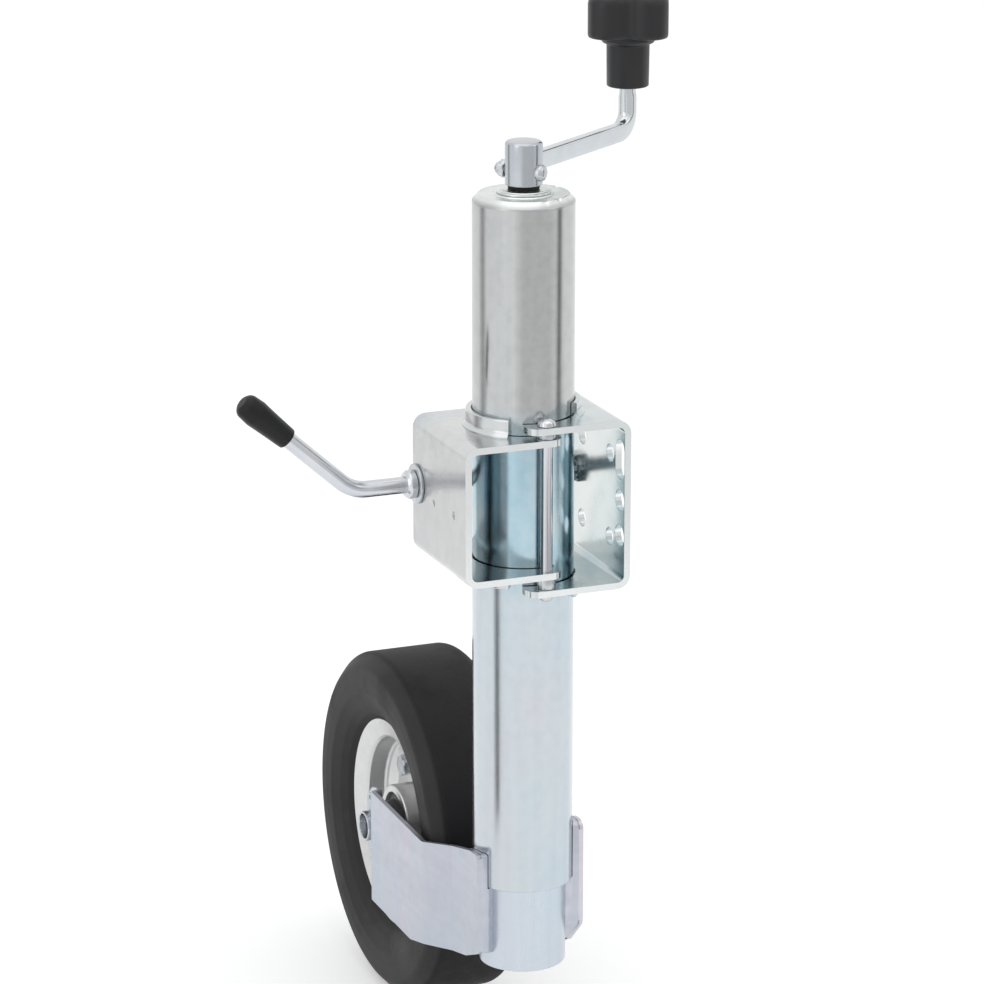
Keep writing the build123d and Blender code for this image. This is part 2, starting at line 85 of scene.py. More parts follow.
def mixed(tree, factor, a, b, how="MIX"):
    return put(tree, "Mix", {"data_type": "RGBA", "blend_type": how}, at0=factor, at6=a, at7=b).outputs[2]


def ranged(tree, value, low, high, toLow=0.0, toHigh=1.0, how="SMOOTHSTEP"):
    made = put(tree, "MapRange", {"interpolation_type": how}, at0=value, at1=low, at2=high, at3=toLow, at4=toHigh)
    return made.outputs[0]


def noise(tree, place, scale, detail=3.0, roughness=0.55):
    return put(tree, "TexNoise", None, Vector=place, Scale=scale, Detail=detail, Roughness=roughness).outputs["Fac"]


def coords(tree, which="Object"):
    return put(tree, "TexCoord").outputs[which]


def parted(tree, vector):
    return put(tree, "SeparateXYZ", None, Vector=vector).outputs


def vectors(tree, how, a, b):
    return put(tree, "VectorMath", {"operation": how}, at0=a, at1=b).outputs[0]


def bumped(tree, strength, depth, rise):
    return put(tree, "Bump", None, Strength=strength, Distance=depth, Height=rise).outputs[0]


def shownRays(tree):  # what the camera, metal and glass look at
    path = put(tree, "LightPath").outputs
    mirrored = math(tree, "MAXIMUM", path["Is Glossy Ray"], path["Is Transmission Ray"])
    return math(tree, "MAXIMUM", path["Is Camera Ray"], mirrored)


def newGroup(name, inputs, outputs):
    tree = bpy.data.node_groups.new(name, "ShaderNodeTree")
    for label, kind, value in inputs:
        tree.interface.new_socket(name=label, in_out="INPUT", socket_type="NodeSocket" + kind).default_value = value
    for label, kind in outputs:
        tree.interface.new_socket(name=label, in_out="OUTPUT", socket_type="NodeSocket" + kind)
    place = coords(tree)
    return tree, tree.nodes.new("NodeGroupInput").outputs, tree.nodes.new("NodeGroupOutput").inputs, place


# effects that several finishes share

def makeToneDrift():  # slow colour clouds of a zinc bath; on the hinge pin, drawn out with strong tints, they are painted reflection streaks
    tree, given, out, place = newGroup("toneDrift", [
        ("Colour", "Color", (0.6, 0.6, 0.6, 1)), ("First Tint", "Color", (0.6, 0.6, 0.8, 1)),
        ("Second Tint", "Color", (0.8, 0.7, 0.6, 1)), ("Scale", "Float", 12.0), ("Amount", "Float", 0.5),
        ("Stretch", "Vector", (1.0, 1.0, 0.45))],
        [("Colour", "Color")])
    soft = vectors(tree, "MULTIPLY", place, given["Stretch"])
    first = ranged(tree, noise(tree, soft, given["Scale"]), 0.42, 0.66)
    apart = vectors(tree, "ADD", soft, (3.1, 1.7, 5.3))
    second = ranged(tree, noise(tree, apart, given["Scale"]), 0.52, 0.72)
    colour = mixed(tree, times(tree, first, given["Amount"]), given["Colour"], given["First Tint"])
    colour = mixed(tree, times(tree, second, given["Amount"]), colour, given["Second Tint"])
    tree.links.new(colour, out["Colour"])
    return tree


def makeDrawnGrain():  # fine lines left by rolling, drawing or turning
    tree, given, out, place = newGroup("drawnGrain", [
        ("Stretch", "Vector", (1.0, 1.0, 0.05)), ("Scale", "Float", 900.0)],
        [("Height", "Float"), ("Mask", "Float")])
    lined = vectors(tree, "MULTIPLY", place, given["Stretch"])
    fine = noise(tree, lined, given["Scale"], 4.0, 0.6)
    broad = noise(tree, lined, times(tree, given["Scale"], 0.16), 2.0)
    tree.links.new(plus(tree, times(tree, fine, 0.6), times(tree, broad, 0.4)), out["Height"])
    tree.links.new(ranged(tree, broad, 0.35, 0.65), out["Mask"])
    return tree


def makeEdgeWear():  # rubbed outer edges, broken up
    tree, given, out, place = newGroup("edgeWear", [("Reach", "Float", 0.06), ("Break Up", "Float", 140.0)],
                                       [("Mask", "Float")])
    point = put(tree, "NewGeometry").outputs["Pointiness"]
    low = minus(tree, 0.56, given["Reach"])
    edge = ranged(tree, point, low, 0.58)
    patchy = ranged(tree, noise(tree, place, given["Break Up"], 4.0), 0.35, 0.6)
    tree.links.new(times(tree, edge, patchy), out["Mask"])
    return tree


def makeHandlingMarks():  # faint scratches and finger smudges
    tree, given, out, place = newGroup("handlingMarks", [("Scale", "Float", 60.0)],
                                       [("Scratches", "Float"), ("Smudges", "Float")])
    bent = vectors(tree, "ADD", place, put(tree, "TexNoise", None, Vector=place, Scale=30.0).outputs["Color"])
    drawnOut = put(tree, "Mapping", None, Vector=bent, Scale=(1.0, 1.0, 0.12)).outputs[0]
    cells = put(tree, "TexVoronoi", {"feature": "DISTANCE_TO_EDGE"}, Vector=drawnOut, Scale=given["Scale"])
    thin = ranged(tree, cells.outputs["Distance"], 0.0, 0.02, 1.0, 0.0)
    some = ranged(tree, noise(tree, place, 45.0), 0.55, 0.65)
    tree.links.new(times(tree, thin, some), out["Scratches"])
    tree.links.new(ranged(tree, noise(tree, place, 26.0, 5.0, 0.65), 0.45, 0.72), out["Smudges"])
    return tree


def makeSettledDust():  # a little dust on faces that look up
    tree, given, out, place = newGroup("settledDust", [("Amount", "Float", 0.3)], [("Mask", "Float")])
    up = ranged(tree, parted(tree, coords(tree, "Normal"))["Z"], 0.35, 1.0)
    specks = ranged(tree, noise(tree, place, 700.0, 3.0), 0.5, 0.7, 0.3, 1.0)
    tree.links.new(times(tree, times(tree, up, specks), given["Amount"]), out["Mask"])
    return tree


effectMakers = (makeToneDrift, makeDrawnGrain, makeEdgeWear, makeHandlingMarks, makeSettledDust)
effects = {made.name: made for made in [maker() for maker in effectMakers]}
print("effects ready")


def useEffect(tree, name, **values):
    return put(tree, "Group", {"node_tree": effects[name]}, **values).outputs


def newMaterial(name):
    material = bpy.data.materials.new(name)
    material.use_nodes = True
    tree = material.node_tree
    return material, tree, tree.nodes["Principled BSDF"]


# finishes

tubeGrey = ((0.49, 0.5, 0.495), (0.44, 0.455, 0.47), (0.53, 0.525, 0.5))
# teal of painted shade and reflection, for the mast inside the clamp
clampShadeTeal = ((0.42, 0.57, 0.64), (0.3, 0.48, 0.57), (0.6, 0.67, 0.67))
tubePale = ((0.55, 0.6, 0.63), (0.49, 0.58, 0.64), (0.6, 0.55, 0.62))
# colour, its two tints, how far and how finely they drift, roughness, grain, bump, wear
zincFinishes = {
    "mastZinc": (*tubeGrey, 0.6, 52.0, 0.15, (1.0, 1.0, 0.03), 0.04, 0.1),
    "forkZinc": ((0.49, 0.51, 0.57), (0.46, 0.51, 0.58), (0.59, 0.49, 0.55),
                 0.7, 11.0, 0.3, (0.3, 0.06, 1.0), 0.05, 0.15),
    # a lighter copy of forkZinc for the right arm: painted light on that arm
    "forkZincLit": ((0.63, 0.59, 0.635), (0.56, 0.57, 0.625), (0.73, 0.59, 0.645),
                      0.8, 11.0, 0.3, (0.3, 0.06, 1.0), 0.05, 0.15),
    "legZinc": ((0.58, 0.62, 0.68), (0.53, 0.61, 0.67), (0.64, 0.58, 0.66),
                0.8, 14.0, 0.26, (1.0, 1.0, 0.03), 0.04, 0.12),
    "bracketZinc": ((0.6, 0.64, 0.64), (0.38, 0.5, 0.55), (0.68, 0.69, 0.65),
                    0.7, 15.0, 0.15, (0.5, 0.5, 0.5), 0.06, 0.25),
    "swingZinc": ((0.62, 0.64, 0.64), (0.46, 0.53, 0.56), (0.68, 0.68, 0.65),
                  0.6, 15.0, 0.15, (0.5, 0.5, 0.5), 0.06, 0.25),
    # the pin's dark and bright tints, drawn out along it, are painted reflection streaks
    "pinZinc": ((0.6, 0.61, 0.63), (0.36, 0.38, 0.42), (0.84, 0.84, 0.84),
                1.0, 330.0, 0.12, (1.0, 1.0, 0.05), 0.03, 0.2),
    "capZinc": ((0.74, 0.77, 0.75), (0.68, 0.71, 0.71), (0.78, 0.78, 0.74),
                0.4, 30.0, 0.24, (0.6, 0.6, 0.6), 0.08, 0.1),
    "crankZinc": ((0.49, 0.52, 0.55), (0.42, 0.46, 0.51), (0.55, 0.56, 0.56),
                  0.5, 60.0, 0.13, (0.5, 0.5, 0.5), 0.04, 0.2),
    "armZinc": ((0.62, 0.65, 0.67), (0.52, 0.57, 0.63), (0.67, 0.68, 0.67),
                0.6, 26.0, 0.16, (0.5, 0.5, 0.5), 0.04, 0.2),
    "leverZinc": ((0.64, 0.655, 0.68), (0.56, 0.59, 0.65), (0.7, 0.7, 0.7),
                  0.6, 24.0, 0.15, (0.06, 1.0, 1.0), 0.04, 0.2),
    "fastenerZinc": ((0.52, 0.545, 0.565), (0.44, 0.48, 0.53), (0.59, 0.58, 0.55),
                     0.6, 60.0, 0.19, (0.6, 0.6, 0.6), 0.06, 0.3),
    "rimSteel": ((0.66, 0.66, 0.655), (0.6, 0.61, 0.62), (0.7, 0.69, 0.67),
                 0.35, 12.0, 0.3, (0.08, 1.0, 1.0), 0.02, 0.1),
    "innerSteel": ((0.42, 0.42, 0.43), (0.34, 0.35, 0.37), (0.48, 0.46, 0.42),
                   0.6, 30.0, 0.32, (1.0, 1.0, 0.2), 0.08, 0.3),
    "nutBrass": ((0.66, 0.48, 0.22), (0.56, 0.4, 0.17), (0.72, 0.57, 0.31),
                 0.6, 30.0, 0.28, (1.0, 1.0, 0.1), 0.06, 0.3),
}
zincExtras = {
    # mastZinc zones: a teal band of painted shade and reflection inside the clamp, and a paler band lower down
    "mastZinc": dict(smudge=0.03, stretch=(1.0, 1.0, 0.03),
                     zones=[(clampShadeTeal, 30.0, 0.062, 0.034), (tubePale, 15.0, -0.03, -0.062)]),
    # painted light and shade by face direction: a painted highlight on the sheet's cut edges, painted light on the
    # fixed web, painted shade on the swinging web
    "bracketZinc": dict(facingLightAndShade=[("X", (0.76, 0.8, 0.77), 0.6), ("Y", (0.9, 0.92, 0.92), 0.85)]),
    "swingZinc": dict(facingLightAndShade=[("X", (0.49, 0.485, 0.48), 0.75), ("Y", (0.9, 0.92, 0.92), 0.85)]),
    # the pin's tints are drawn out along it into painted reflection streaks
    "pinZinc": dict(smudge=0.04, stretch=(1.0, 1.0, 0.015)),
    "capZinc": dict(zones=[(tubeGrey, 52.0, 0.1795, 0.1768)]),
    "crankZinc": dict(smudge=0.05, stretch=(1.0, 1.0, 0.08)),
    "rimSteel": dict(smudge=0.05),
}
zincShares = dict(lines=0.10, lineTone=(0.72, 0.74, 0.78, 1), wornTone=(0.80, 0.82, 0.83, 1),
                  dustTone=(0.55, 0.53, 0.50, 1), lineRough=0.05, dustRough=0.6, scratches=0.6, depth=0.0006)


def makeZinc(name, colour, first, second, drift, scale, rough, grain, bump, wear,
             smudge=0.09, stretch=(1.0, 1.0, 0.45), zones=(), facingLightAndShade=()):
    material, tree, shader = newMaterial(name)

    def drifted(colour, first, second, scale, **others):
        return useEffect(tree, "toneDrift", Colour=(*colour, 1), First_Tint=(*first, 1), Second_Tint=(*second, 1),
                         Scale=scale, **others)["Colour"]

    tone = drifted(colour, first, second, scale, Amount=drift, Stretch=stretch)
    if zones:  # the tone changes with height; on the mast a teal band inside the clamp is painted shade and reflection, and a paler band lies below it
        height = parted(tree, coords(tree))["Z"]
    for tones, scale, above, below in zones:
        tone = mixed(tree, ranged(tree, height, above, below), tone, drifted(*tones, scale, Amount=0.7))
    if facingLightAndShade:  # painted light and shade: the sheet takes a tone by which way it faces, a painted highlight on the cut edges, painted light on the fixed web and painted shade on the swinging web
        normal = parted(tree, coords(tree, "Normal"))
    for axis, other, amount in facingLightAndShade:
        straight = ranged(tree, math(tree, "ABSOLUTE", normal[axis]), 0.90, 0.98, 0.0, amount)
        tone = mixed(tree, straight, tone, (*other, 1))
    lines = useEffect(tree, "drawnGrain", Stretch=grain, Scale=850.0)
    worn = useEffect(tree, "edgeWear", Reach=0.05)["Mask"]
    marks = useEffect(tree, "handlingMarks", Scale=70.0)
    dust = useEffect(tree, "settledDust", Amount=0.06)["Mask"]
    lined = mixed(tree, 1.0, tone, zincShares["lineTone"], "MULTIPLY")
    tone = mixed(tree, times(tree, lines["Mask"], zincShares["lines"]), tone, lined)
    tone = mixed(tree, times(tree, worn, wear), tone, zincShares["wornTone"])
    tone = mixed(tree, dust, tone, zincShares["dustTone"])
    level = plus(tree, rough, times(tree, marks["Smudges"], smudge))
    level = plus(tree, level, times(tree, lines["Mask"], zincShares["lineRough"]))
    level = plus(tree, level, times(tree, dust, zincShares["dustRough"]), True)
    rise = minus(tree, lines["Height"], times(tree, marks["Scratches"], zincShares["scratches"]))
    feed(tree, shader, dict(Base_Color=tone, Metallic=1.0, Roughness=level,
                            Normal=bumped(tree, bump, zincShares["depth"], rise)))
    return material


# colour, worn tone, roughness, fineness of the grain, bump, dust, shine
mouldedFinishes = {
    "knobPlastic": ((0.0125, 0.0125, 0.0145), (0.06, 0.06, 0.062), 0.36, 1900.0, 0.1, 0.05, 0.42),
    "gripPlastic": ((0.012, 0.012, 0.013), (0.03, 0.03, 0.03), 0.36, 1500.0, 0.1, 0.02, 0.24),
    "sealRubber": ((0.012, 0.012, 0.012), (0.03, 0.03, 0.03), 0.6, 2200.0, 0.2, 0.05, 0.25),
    "guideNylon": ((0.62, 0.6, 0.54), (0.72, 0.71, 0.67), 0.48, 1200.0, 0.08, 0.05, 0.5),
    "bushPlastic": ((0.045, 0.046, 0.05), (0.1, 0.1, 0.1), 0.4, 1500.0, 0.1, 0.05, 0.4),
}
mouldedShares = dict(dark=0.82, bright=1.16, worn=0.5, dustTone=(0.32, 0.31, 0.30, 1), smudge=0.12, polish=0.1,
                     pebbles=0.5, mottle=0.4, scratches=0.3, depth=0.0004)


def makeMoulded(name, colour, worn, rough, grainScale, bump, dust, shine):
    material, tree, shader = newMaterial(name)
    place = coords(tree)
    rubbed = useEffect(tree, "edgeWear", Reach=0.05, Break_Up=90.0)["Mask"]
    marks = useEffect(tree, "handlingMarks", Scale=90.0)
    settled = useEffect(tree, "settledDust", Amount=dust)["Mask"]
    mottled = noise(tree, place, 60.0, 4.0)
    dark, bright = [tuple(mouldedShares[key] * c for c in colour) + (1,) for key in ("dark", "bright")]
    tone = mixed(tree, mottled, dark, bright)
    tone = mixed(tree, times(tree, rubbed, mouldedShares["worn"]), tone, (*worn, 1))
    tone = mixed(tree, settled, tone, mouldedShares["dustTone"])
    level = plus(tree, rough, times(tree, marks["Smudges"], mouldedShares["smudge"]))
    level = minus(tree, level, times(tree, rubbed, mouldedShares["polish"]))
    pebble = put(tree, "TexVoronoi", {"feature": "SMOOTH_F1"}, Vector=place, Scale=grainScale, Smoothness=0.7)
    pebbled = times(tree, pebble.outputs["Distance"], mouldedShares["pebbles"])
    rise = plus(tree, pebbled, times(tree, mottled, mouldedShares["mottle"]))
    rise = minus(tree, rise, times(tree, marks["Scratches"], mouldedShares["scratches"]))
    feed(tree, shader, dict(Base_Color=tone, Specular_IOR_Level=shine, Roughness=level,
                            Normal=bumped(tree, bump, mouldedShares["depth"], rise)))
    return material


tyreFinish = dict(colour=(0.013, 0.0128, 0.014, 1), wallColour=(0.031, 0.0295, 0.0300, 1),
                  grooveShade=(0.012, 0.012, 0.013, 1), wornTone=(0.06, 0.058, 0.058, 1),
                  dustTone=(0.12, 0.115, 0.11, 1), lineGap=6.2 * mm, ringGap=4.1 * mm, lineWidth=0.5 * mm,
                  ringWidth=0.6 * mm, treadFrom=107.5 * mm, treadFull=109.5 * mm, rough=0.55, shine=0.20, bump=0.35,
                  depth=0.6 * mm)


def makeTyreRubber():
    material, tree, shader = newMaterial("tyreRubber")
    place = coords(tree)
    parts = parted(tree, place)
    side = math(tree, "ABSOLUTE", minus(tree, parts["X"], mastX * mm))
    back = minus(tree, parts["Y"], axleAt.y * mm)
    down = minus(tree, parts["Z"], axleAt.z * mm)
    out = math(tree, "SQRT", plus(tree, times(tree, back, back), times(tree, down, down)))
    onTread = ranged(tree, out, tyreFinish["treadFrom"], tyreFinish["treadFull"])
    lineWave = math(tree, "PINGPONG", side, tyreFinish["lineGap"])
    treadLine = ranged(tree, lineWave, 0.0, tyreFinish["lineWidth"], 1.0, 0.0)
    ringWave = math(tree, "PINGPONG", out, tyreFinish["ringGap"])
    wallRing = times(tree, ranged(tree, ringWave, 0.0, tyreFinish["ringWidth"], 1.0, 0.0), 0.35)
    groove = plus(tree, times(tree, onTread, treadLine), times(tree, minus(tree, 1.0, onTread), wallRing))
    marks = useEffect(tree, "handlingMarks", Scale=40.0)
    dust = useEffect(tree, "settledDust", Amount=0.06)["Mask"]
    worn = useEffect(tree, "edgeWear", Reach=0.05, Break_Up=60.0)["Mask"]
    patchy = ranged(tree, noise(tree, place, 34.0, 5.0), 0.35, 0.7)
    tone = mixed(tree, onTread, tyreFinish["wallColour"], tyreFinish["colour"])
    brighter = mixed(tree, 1.0, tone, (1.5, 1.5, 1.5, 1), "MULTIPLY")
    tone = mixed(tree, times(tree, patchy, 0.25), tone, brighter)
    # painted shade in the tread lines and sidewall rings
    tone = mixed(tree, times(tree, groove, 0.22), tone, tyreFinish["grooveShade"])
    tone = mixed(tree, times(tree, worn, 0.2), tone, tyreFinish["wornTone"])
    tone = mixed(tree, dust, tone, tyreFinish["dustTone"])
    level = plus(tree, tyreFinish["rough"], times(tree, marks["Smudges"], 0.14))
    level = plus(tree, level, times(tree, onTread, 0.06))
    fine = noise(tree, place, 1400.0, 3.0)
    rise = minus(tree, times(tree, fine, 0.3), times(tree, groove, 0.7))
    feed(tree, shader, dict(Base_Color=tone, Specular_IOR_Level=tyreFinish["shine"], Roughness=level,
                            Normal=bumped(tree, tyreFinish["bump"], tyreFinish["depth"], rise)))
    return material


looks = {name: makeZinc(name, *row, **zincExtras.get(name, {})) for name, row in zincFinishes.items()}
looks.update({name: makeMoulded(name, *row) for name, row in mouldedFinishes.items()})
looks["tyreRubber"] = makeTyreRubber()
print("finishes ready:", len(looks))


# shape tools, all in millimetres until setDown

nearlyStraight = 1.56  # half of the angle at a corner, radians


def polar(r, a, far=0.0):
    return Vector((r * cos(a), r * sin(a), far))


def around(count, shift=0.0):
    return [2 * pi * (k + shift) / count for k in range(count)]


def rounded(points, radii, closed=True, steps=5):
    points = [Vector(p) for p in points]
    radii = radii if isinstance(radii, (list, tuple)) else [radii] * len(points)
    made = []
    for i, here in enumerate(points):
        if radii[i] <= 0 or (not closed and i in (0, len(points) - 1)):
            made.append(here)
            continue
        back, on = points[i - 1] - here, points[(i + 1) % len(points)] - here
        half = back.angle(on) / 2
        if half > nearlyStraight:
            made.append(here)
            continue
        reach = min(radii[i] / tan(half), back.length * 0.5, on.length * 0.5)
        radius = reach * tan(half)
        centre = here + (back.normalized() + on.normalized()).normalized() * (radius / sin(half))
        first, last = here + back.normalized() * reach - centre, here + on.normalized() * reach - centre
        turn = pi - 2 * half
        for k in range(steps + 1):
            t = k / steps
            made.append(centre + (first * sin((1 - t) * turn) + last * sin(t * turn)) / sin(turn))
    return made


def bridge(bm, one, two):
    count = max(len(one), len(two))
    for k in range(count):
        m = (k + 1) % count
        corners = []
        for vert in (one[k % len(one)], one[m % len(one)], two[m % len(two)], two[k % len(two)]):
            if vert not in corners:
                corners.append(vert)
        if len(corners) > 2:
            bm.faces.new(corners)


def skinned(bm, rings, closed=False):
    for one, two in zip(rings, rings[1:] + (rings[:1] if closed else [])):
        bridge(bm, one, two)
    return bm


def turned(profile, at, along, steps=96, closed=True, bm=None):
    bm = bm or bmesh.new()  # profile pairs are (distance along, radius)
    turn = upward.rotation_difference(Vector(along))
    rings = []
    for far, r in profile:
        angles = around(steps) if r > 1e-4 else [0.0]
        rings.append([bm.verts.new(at + turn @ polar(r, a, far)) for a in angles])
    return skinned(bm, rings, closed)


def lathe(corners, radii, at, along, steps=96, smooth=4, closed=True, bm=None):
    line = rounded(corners, radii, closed, smooth)
    if not closed:  # both ends stay exactly as given
        line = [corners[0], *line[1:-1], corners[-1]]
    return turned(line, at, along, steps, closed, bm)


def ringBar(low, high, inner, outer, edge, at, along, steps=96, bm=None):
    return lathe([(low, inner), (low, outer), (high, outer), (high, inner)], edge, at, along, steps, 3, True, bm)


def stub(low, high, radius, edge, at, along, steps=48, bm=None):
    return lathe([(low, 0), (low, radius), (high, radius), (high, 0)], edge, at, along, steps, 3, False, bm)


def prism(outline, low, high, seat):
    bm = bmesh.new()  # seat turns (a, b, c) into a point, c is the way it is pushed
    below = [bm.verts.new(seat(a, b, low)) for a, b in outline]
    above = [bm.verts.new(seat(a, b, high)) for a, b in outline]
    bridge(bm, below, above)
    bm.faces.new(below[::-1])
    bm.faces.new(above)
    return bm


def fromFront(a, b, c): return Vector((a, c, b))
def fromTop(a, b, c): return Vector((a, b, c))
def fromSide(a, b, c): return Vector((c, a, b))


def swept(points, shapeAt, side, capped=True):
    bm = bmesh.new()
    rings = []
    lean = Vector(side)
    last = len(points) - 1
    for i, here in enumerate(points):
        ahead = (points[min(i + 1, last)] - points[max(i - 1, 0)]).normalized()
        lean = (lean - ahead * lean.dot(ahead)).normalized()
        other = ahead.cross(lean)
        rings.append([bm.verts.new(here + lean * u + other * v) for u, v in shapeAt(i / last)])
    skinned(bm, rings)
    if capped:
        bm.faces.new(rings[0][::-1])
        bm.faces.new(rings[-1])
    return bm


def circleShape(radius, count):
    return [(radius * cos(a), radius * sin(a)) for a in around(count)]


def spaced(points, gap):
    made = [points[0]]
    for one, two in zip(points, points[1:]):
        count = max(1, int((two - one).length / gap))
        made += [one.lerp(two, (k + 1) / count) for k in range(count)]
    return made


def meshFrom(bm, name):
    mesh = bpy.data.meshes.new(name)
    bm.to_mesh(mesh)
    bm.free()
    return mesh


def placed(name, data):
    made = bpy.data.objects.new(name, data)
    bpy.context.scene.collection.objects.link(made)
    return made


def loose(bm, name="tool"):
    bmesh.ops.recalc_face_normals(bm, faces=bm.faces)
    return placed(name, meshFrom(bm, name))


def carved(bm, kept, *cuts):  # what lies inside kept stays, less the cuts
    base = loose(bm, "blank")
    used = [base]
    for tool, how in [(kept, "INTERSECT")] + [(tool, "DIFFERENCE") for tool in cuts]:
        knife = loose(tool)
        used.append(knife)
        cut = base.modifiers.new("cut", "BOOLEAN")
        cut.operation, cut.solver, cut.object = how, "EXACT", knife
    bpy.context.view_layer.update()
    mesh = bpy.data.meshes.new_from_object(base.evaluated_get(bpy.context.evaluated_depsgraph_get()))
    made = bmesh.new()
    made.from_mesh(mesh)
    bmesh.ops.remove_doubles(made, verts=made.verts, dist=0.001)
    bmesh.ops.dissolve_limit(made, angle_limit=0.01, verts=made.verts, edges=made.edges)
    for item in used:
        bpy.data.meshes.remove(item.data)
    bpy.data.meshes.remove(mesh)
    return made


def join(bm, *others):
    for other in others:
        mesh = meshFrom(other, "joined")
        bm.from_mesh(mesh)
        bpy.data.meshes.remove(mesh)
    return bm


def setDown(name, bm, look, *nodes, soften=0.0, sharp=32):
    bmesh.ops.recalc_face_normals(bm, faces=bm.faces)
    for vert in bm.verts:
        vert.co *= mm
    mesh = meshFrom(bm, name)
    for face in mesh.polygons:
        face.use_smooth = True
    mesh.set_sharp_from_angle(angle=radians(sharp))
    mesh.materials.append(looks[look])
    piece = placed(name, mesh)
    if soften:
        edge = piece.modifiers.new("edge", "BEVEL")
        edge.width, edge.segments, edge.limit_method, edge.angle_limit = soften * mm, 2, "ANGLE", radians(38)
        edge.harden_normals = True
    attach(piece, nodeBodies[nodes[0]])
    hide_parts(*nodes)


# camera, lights and floor

def aimed(holder, place, way):
    holder.location = place
    holder.rotation_euler = Vector(way).to_track_quat("-Z", "Y").to_euler()


viewSetup = dict(place=(-0.9587, -2.2210, 0.7027), aim=(0.3565, 0.8911, -0.2807), lens=155.7, floor=-0.3715)
camera = placed("camera", bpy.data.cameras.new("camera"))
camera.data.lens, camera.data.sensor_width = viewSetup["lens"], 36.0
aimed(camera, viewSetup["place"], viewSetup["aim"])
bpy.context.scene.camera = camera
bpy.context.scene.view_settings.view_transform = "Standard"

softLights = {
    "skyPanel": dict(at=(-0.3, -0.2, 2.3), size=(2.6, 2.2), power=9.0),
    "leftPanel": dict(at=(-2.3, -0.9, 1.0), size=(1.2, 2.2), power=5.0),
    "rightPanel": dict(at=(1.9, -1.5, 1.1), size=(0.9, 2.0), power=4.0),
}
for name, values in softLights.items():
    panel = bpy.data.lights.new(name, "AREA")
    panel.shape, panel.size, panel.size_y, panel.energy = "RECTANGLE", *values["size"], values["power"]
    aimed(placed(name, panel), values["at"], Vector((-0.05, 0.05, -0.05)) - Vector(values["at"]))

# grey cards round the stand, which the metal shows as darker upright stripes
cardSettings = {
    "rightCard": dict(turn=-26, width=24, tone=0.18, far=0.95),
    "leftCard": dict(turn=145, width=26, tone=0.42, far=0.95),
    "frontCard": dict(turn=-82, width=96, tone=0.78, far=1.05, fade=0.2),
    "lowCard": dict(turn=-172, width=16, tone=0.28, far=0.45, high=-0.12),
    "nearCard": dict(turn=-172, width=19, tone=0.03, far=0.30, high=-0.14),
}


def makeCard(name, turn, width, tone, far, low=-0.365, high=0.55, fade=0.5):
    bm = bmesh.new()  # turn is its place round the mast in degrees from the drawbar side
    layer = bm.loops.layers.uv.new("across")
    rings = []
    strips = 16
    for k in range(strips + 1):
        a = radians(turn + width * (k / strips - 0.5))
        rings.append([bm.verts.new((mastX * mm + far * cos(a), far * sin(a), z)) for z in (low, high)])
    for k, (one, two) in enumerate(zip(rings, rings[1:])):
        face = bm.faces.new((one[0], two[0], two[1], one[1]))
        for loop, share in zip(face.loops, (k, k + 1, k + 1, k)):
            loop[layer].uv = (share / strips, 0.5)
    card = placed(name, meshFrom(bm, name))
    material, tree, shader = newMaterial(name + "Paper")
    share = parted(tree, put(tree, "UVMap", {"uv_map": "across"}).outputs["UV"])["X"]
    near = times(tree, ranged(tree, share, 0.0, fade), ranged(tree, share, 1.0, 1.0 - fade))
    level = ranged(tree, near, 0.0, 1.0, 1.0, tone, "LINEAR")
    glow = put(tree, "Emission", None, Color=(1, 1, 1, 1), Strength=level)
    tree.links.new(glow.outputs[0], tree.nodes["Material Output"].inputs["Surface"])
    card.data.materials.append(material)
    card.visible_camera = card.visible_shadow = card.visible_diffuse = False


def makeStudio():  # white room, a little dimmer as light on the object
    world = bpy.data.worlds.new("studio")
    world.use_nodes = True
    tree = world.node_tree
    backing = tree.nodes["Background"]
    seen = mixed(tree, shownRays(tree), (0.74, 0.745, 0.75, 1), (1, 1, 1, 1))
    feed(tree, backing, dict(Color=seen, Strength=1.0))
    bpy.context.scene.world = world


def makeFloor():
    bm = bmesh.new()
    bmesh.ops.create_grid(bm, x_segments=8, y_segments=8, size=14.0)
    floor = placed("floor", meshFrom(bm, "floor"))
    floor.location = (0, 0, viewSetup["floor"])
    material, tree, shader = newMaterial("floorPaper")
    grey = mixed(tree, noise(tree, coords(tree), 3.0), (0.86, 0.86, 0.86, 1), (0.90, 0.90, 0.90, 1))
    feed(tree, shader, dict(Base_Color=grey, Roughness=0.7, Specular_IOR_Level=0.2))
    glow = put(tree, "Emission", None, Color=(1, 1, 1, 1), Strength=times(tree, shownRays(tree), 0.34))
    both = put(tree, "AddShader", None, at0=shader.outputs[0], at1=glow.outputs[0])
    tree.links.new(both.outputs[0], tree.nodes["Material Output"].inputs["Surface"])
    floor.data.materials.append(material)
    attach(floor, "leg")  # the wheel stands on it at every pose


makeStudio()
makeFloor()
for name, values in cardSettings.items():
    makeCard(name, **values)
print("camera and studio ready")

# mast: outer tube, cap and flange

mast = dict(radius=30, wall=2.5, low=-239.5, high=175.5, capTop=181.0, plugLow=168.0, plugRadius=27.4)
mastAt = Vector((mastX, 0, 0))
mastTube = ringBar(mast["low"], mast["high"], mast["radius"] - mast["wall"], mast["radius"], [0.5, 0.5, 0, 0],
                   mastAt, upward, 144)
setDown("mastTube", mastTube, "mastZinc", "outer_tube")
# where each mark sits: degrees round the mast, distance from its axis, depth, width
punchMarks = [(-62, 26.6, 1.5, 2.3), (-47, 27.2, 1.3, 2.0), (-85, 26.0, 0.5, 3.0), (20, 26.6, 1.4, 2.2),
              (140, 26.6, 1.4, 2.2)]


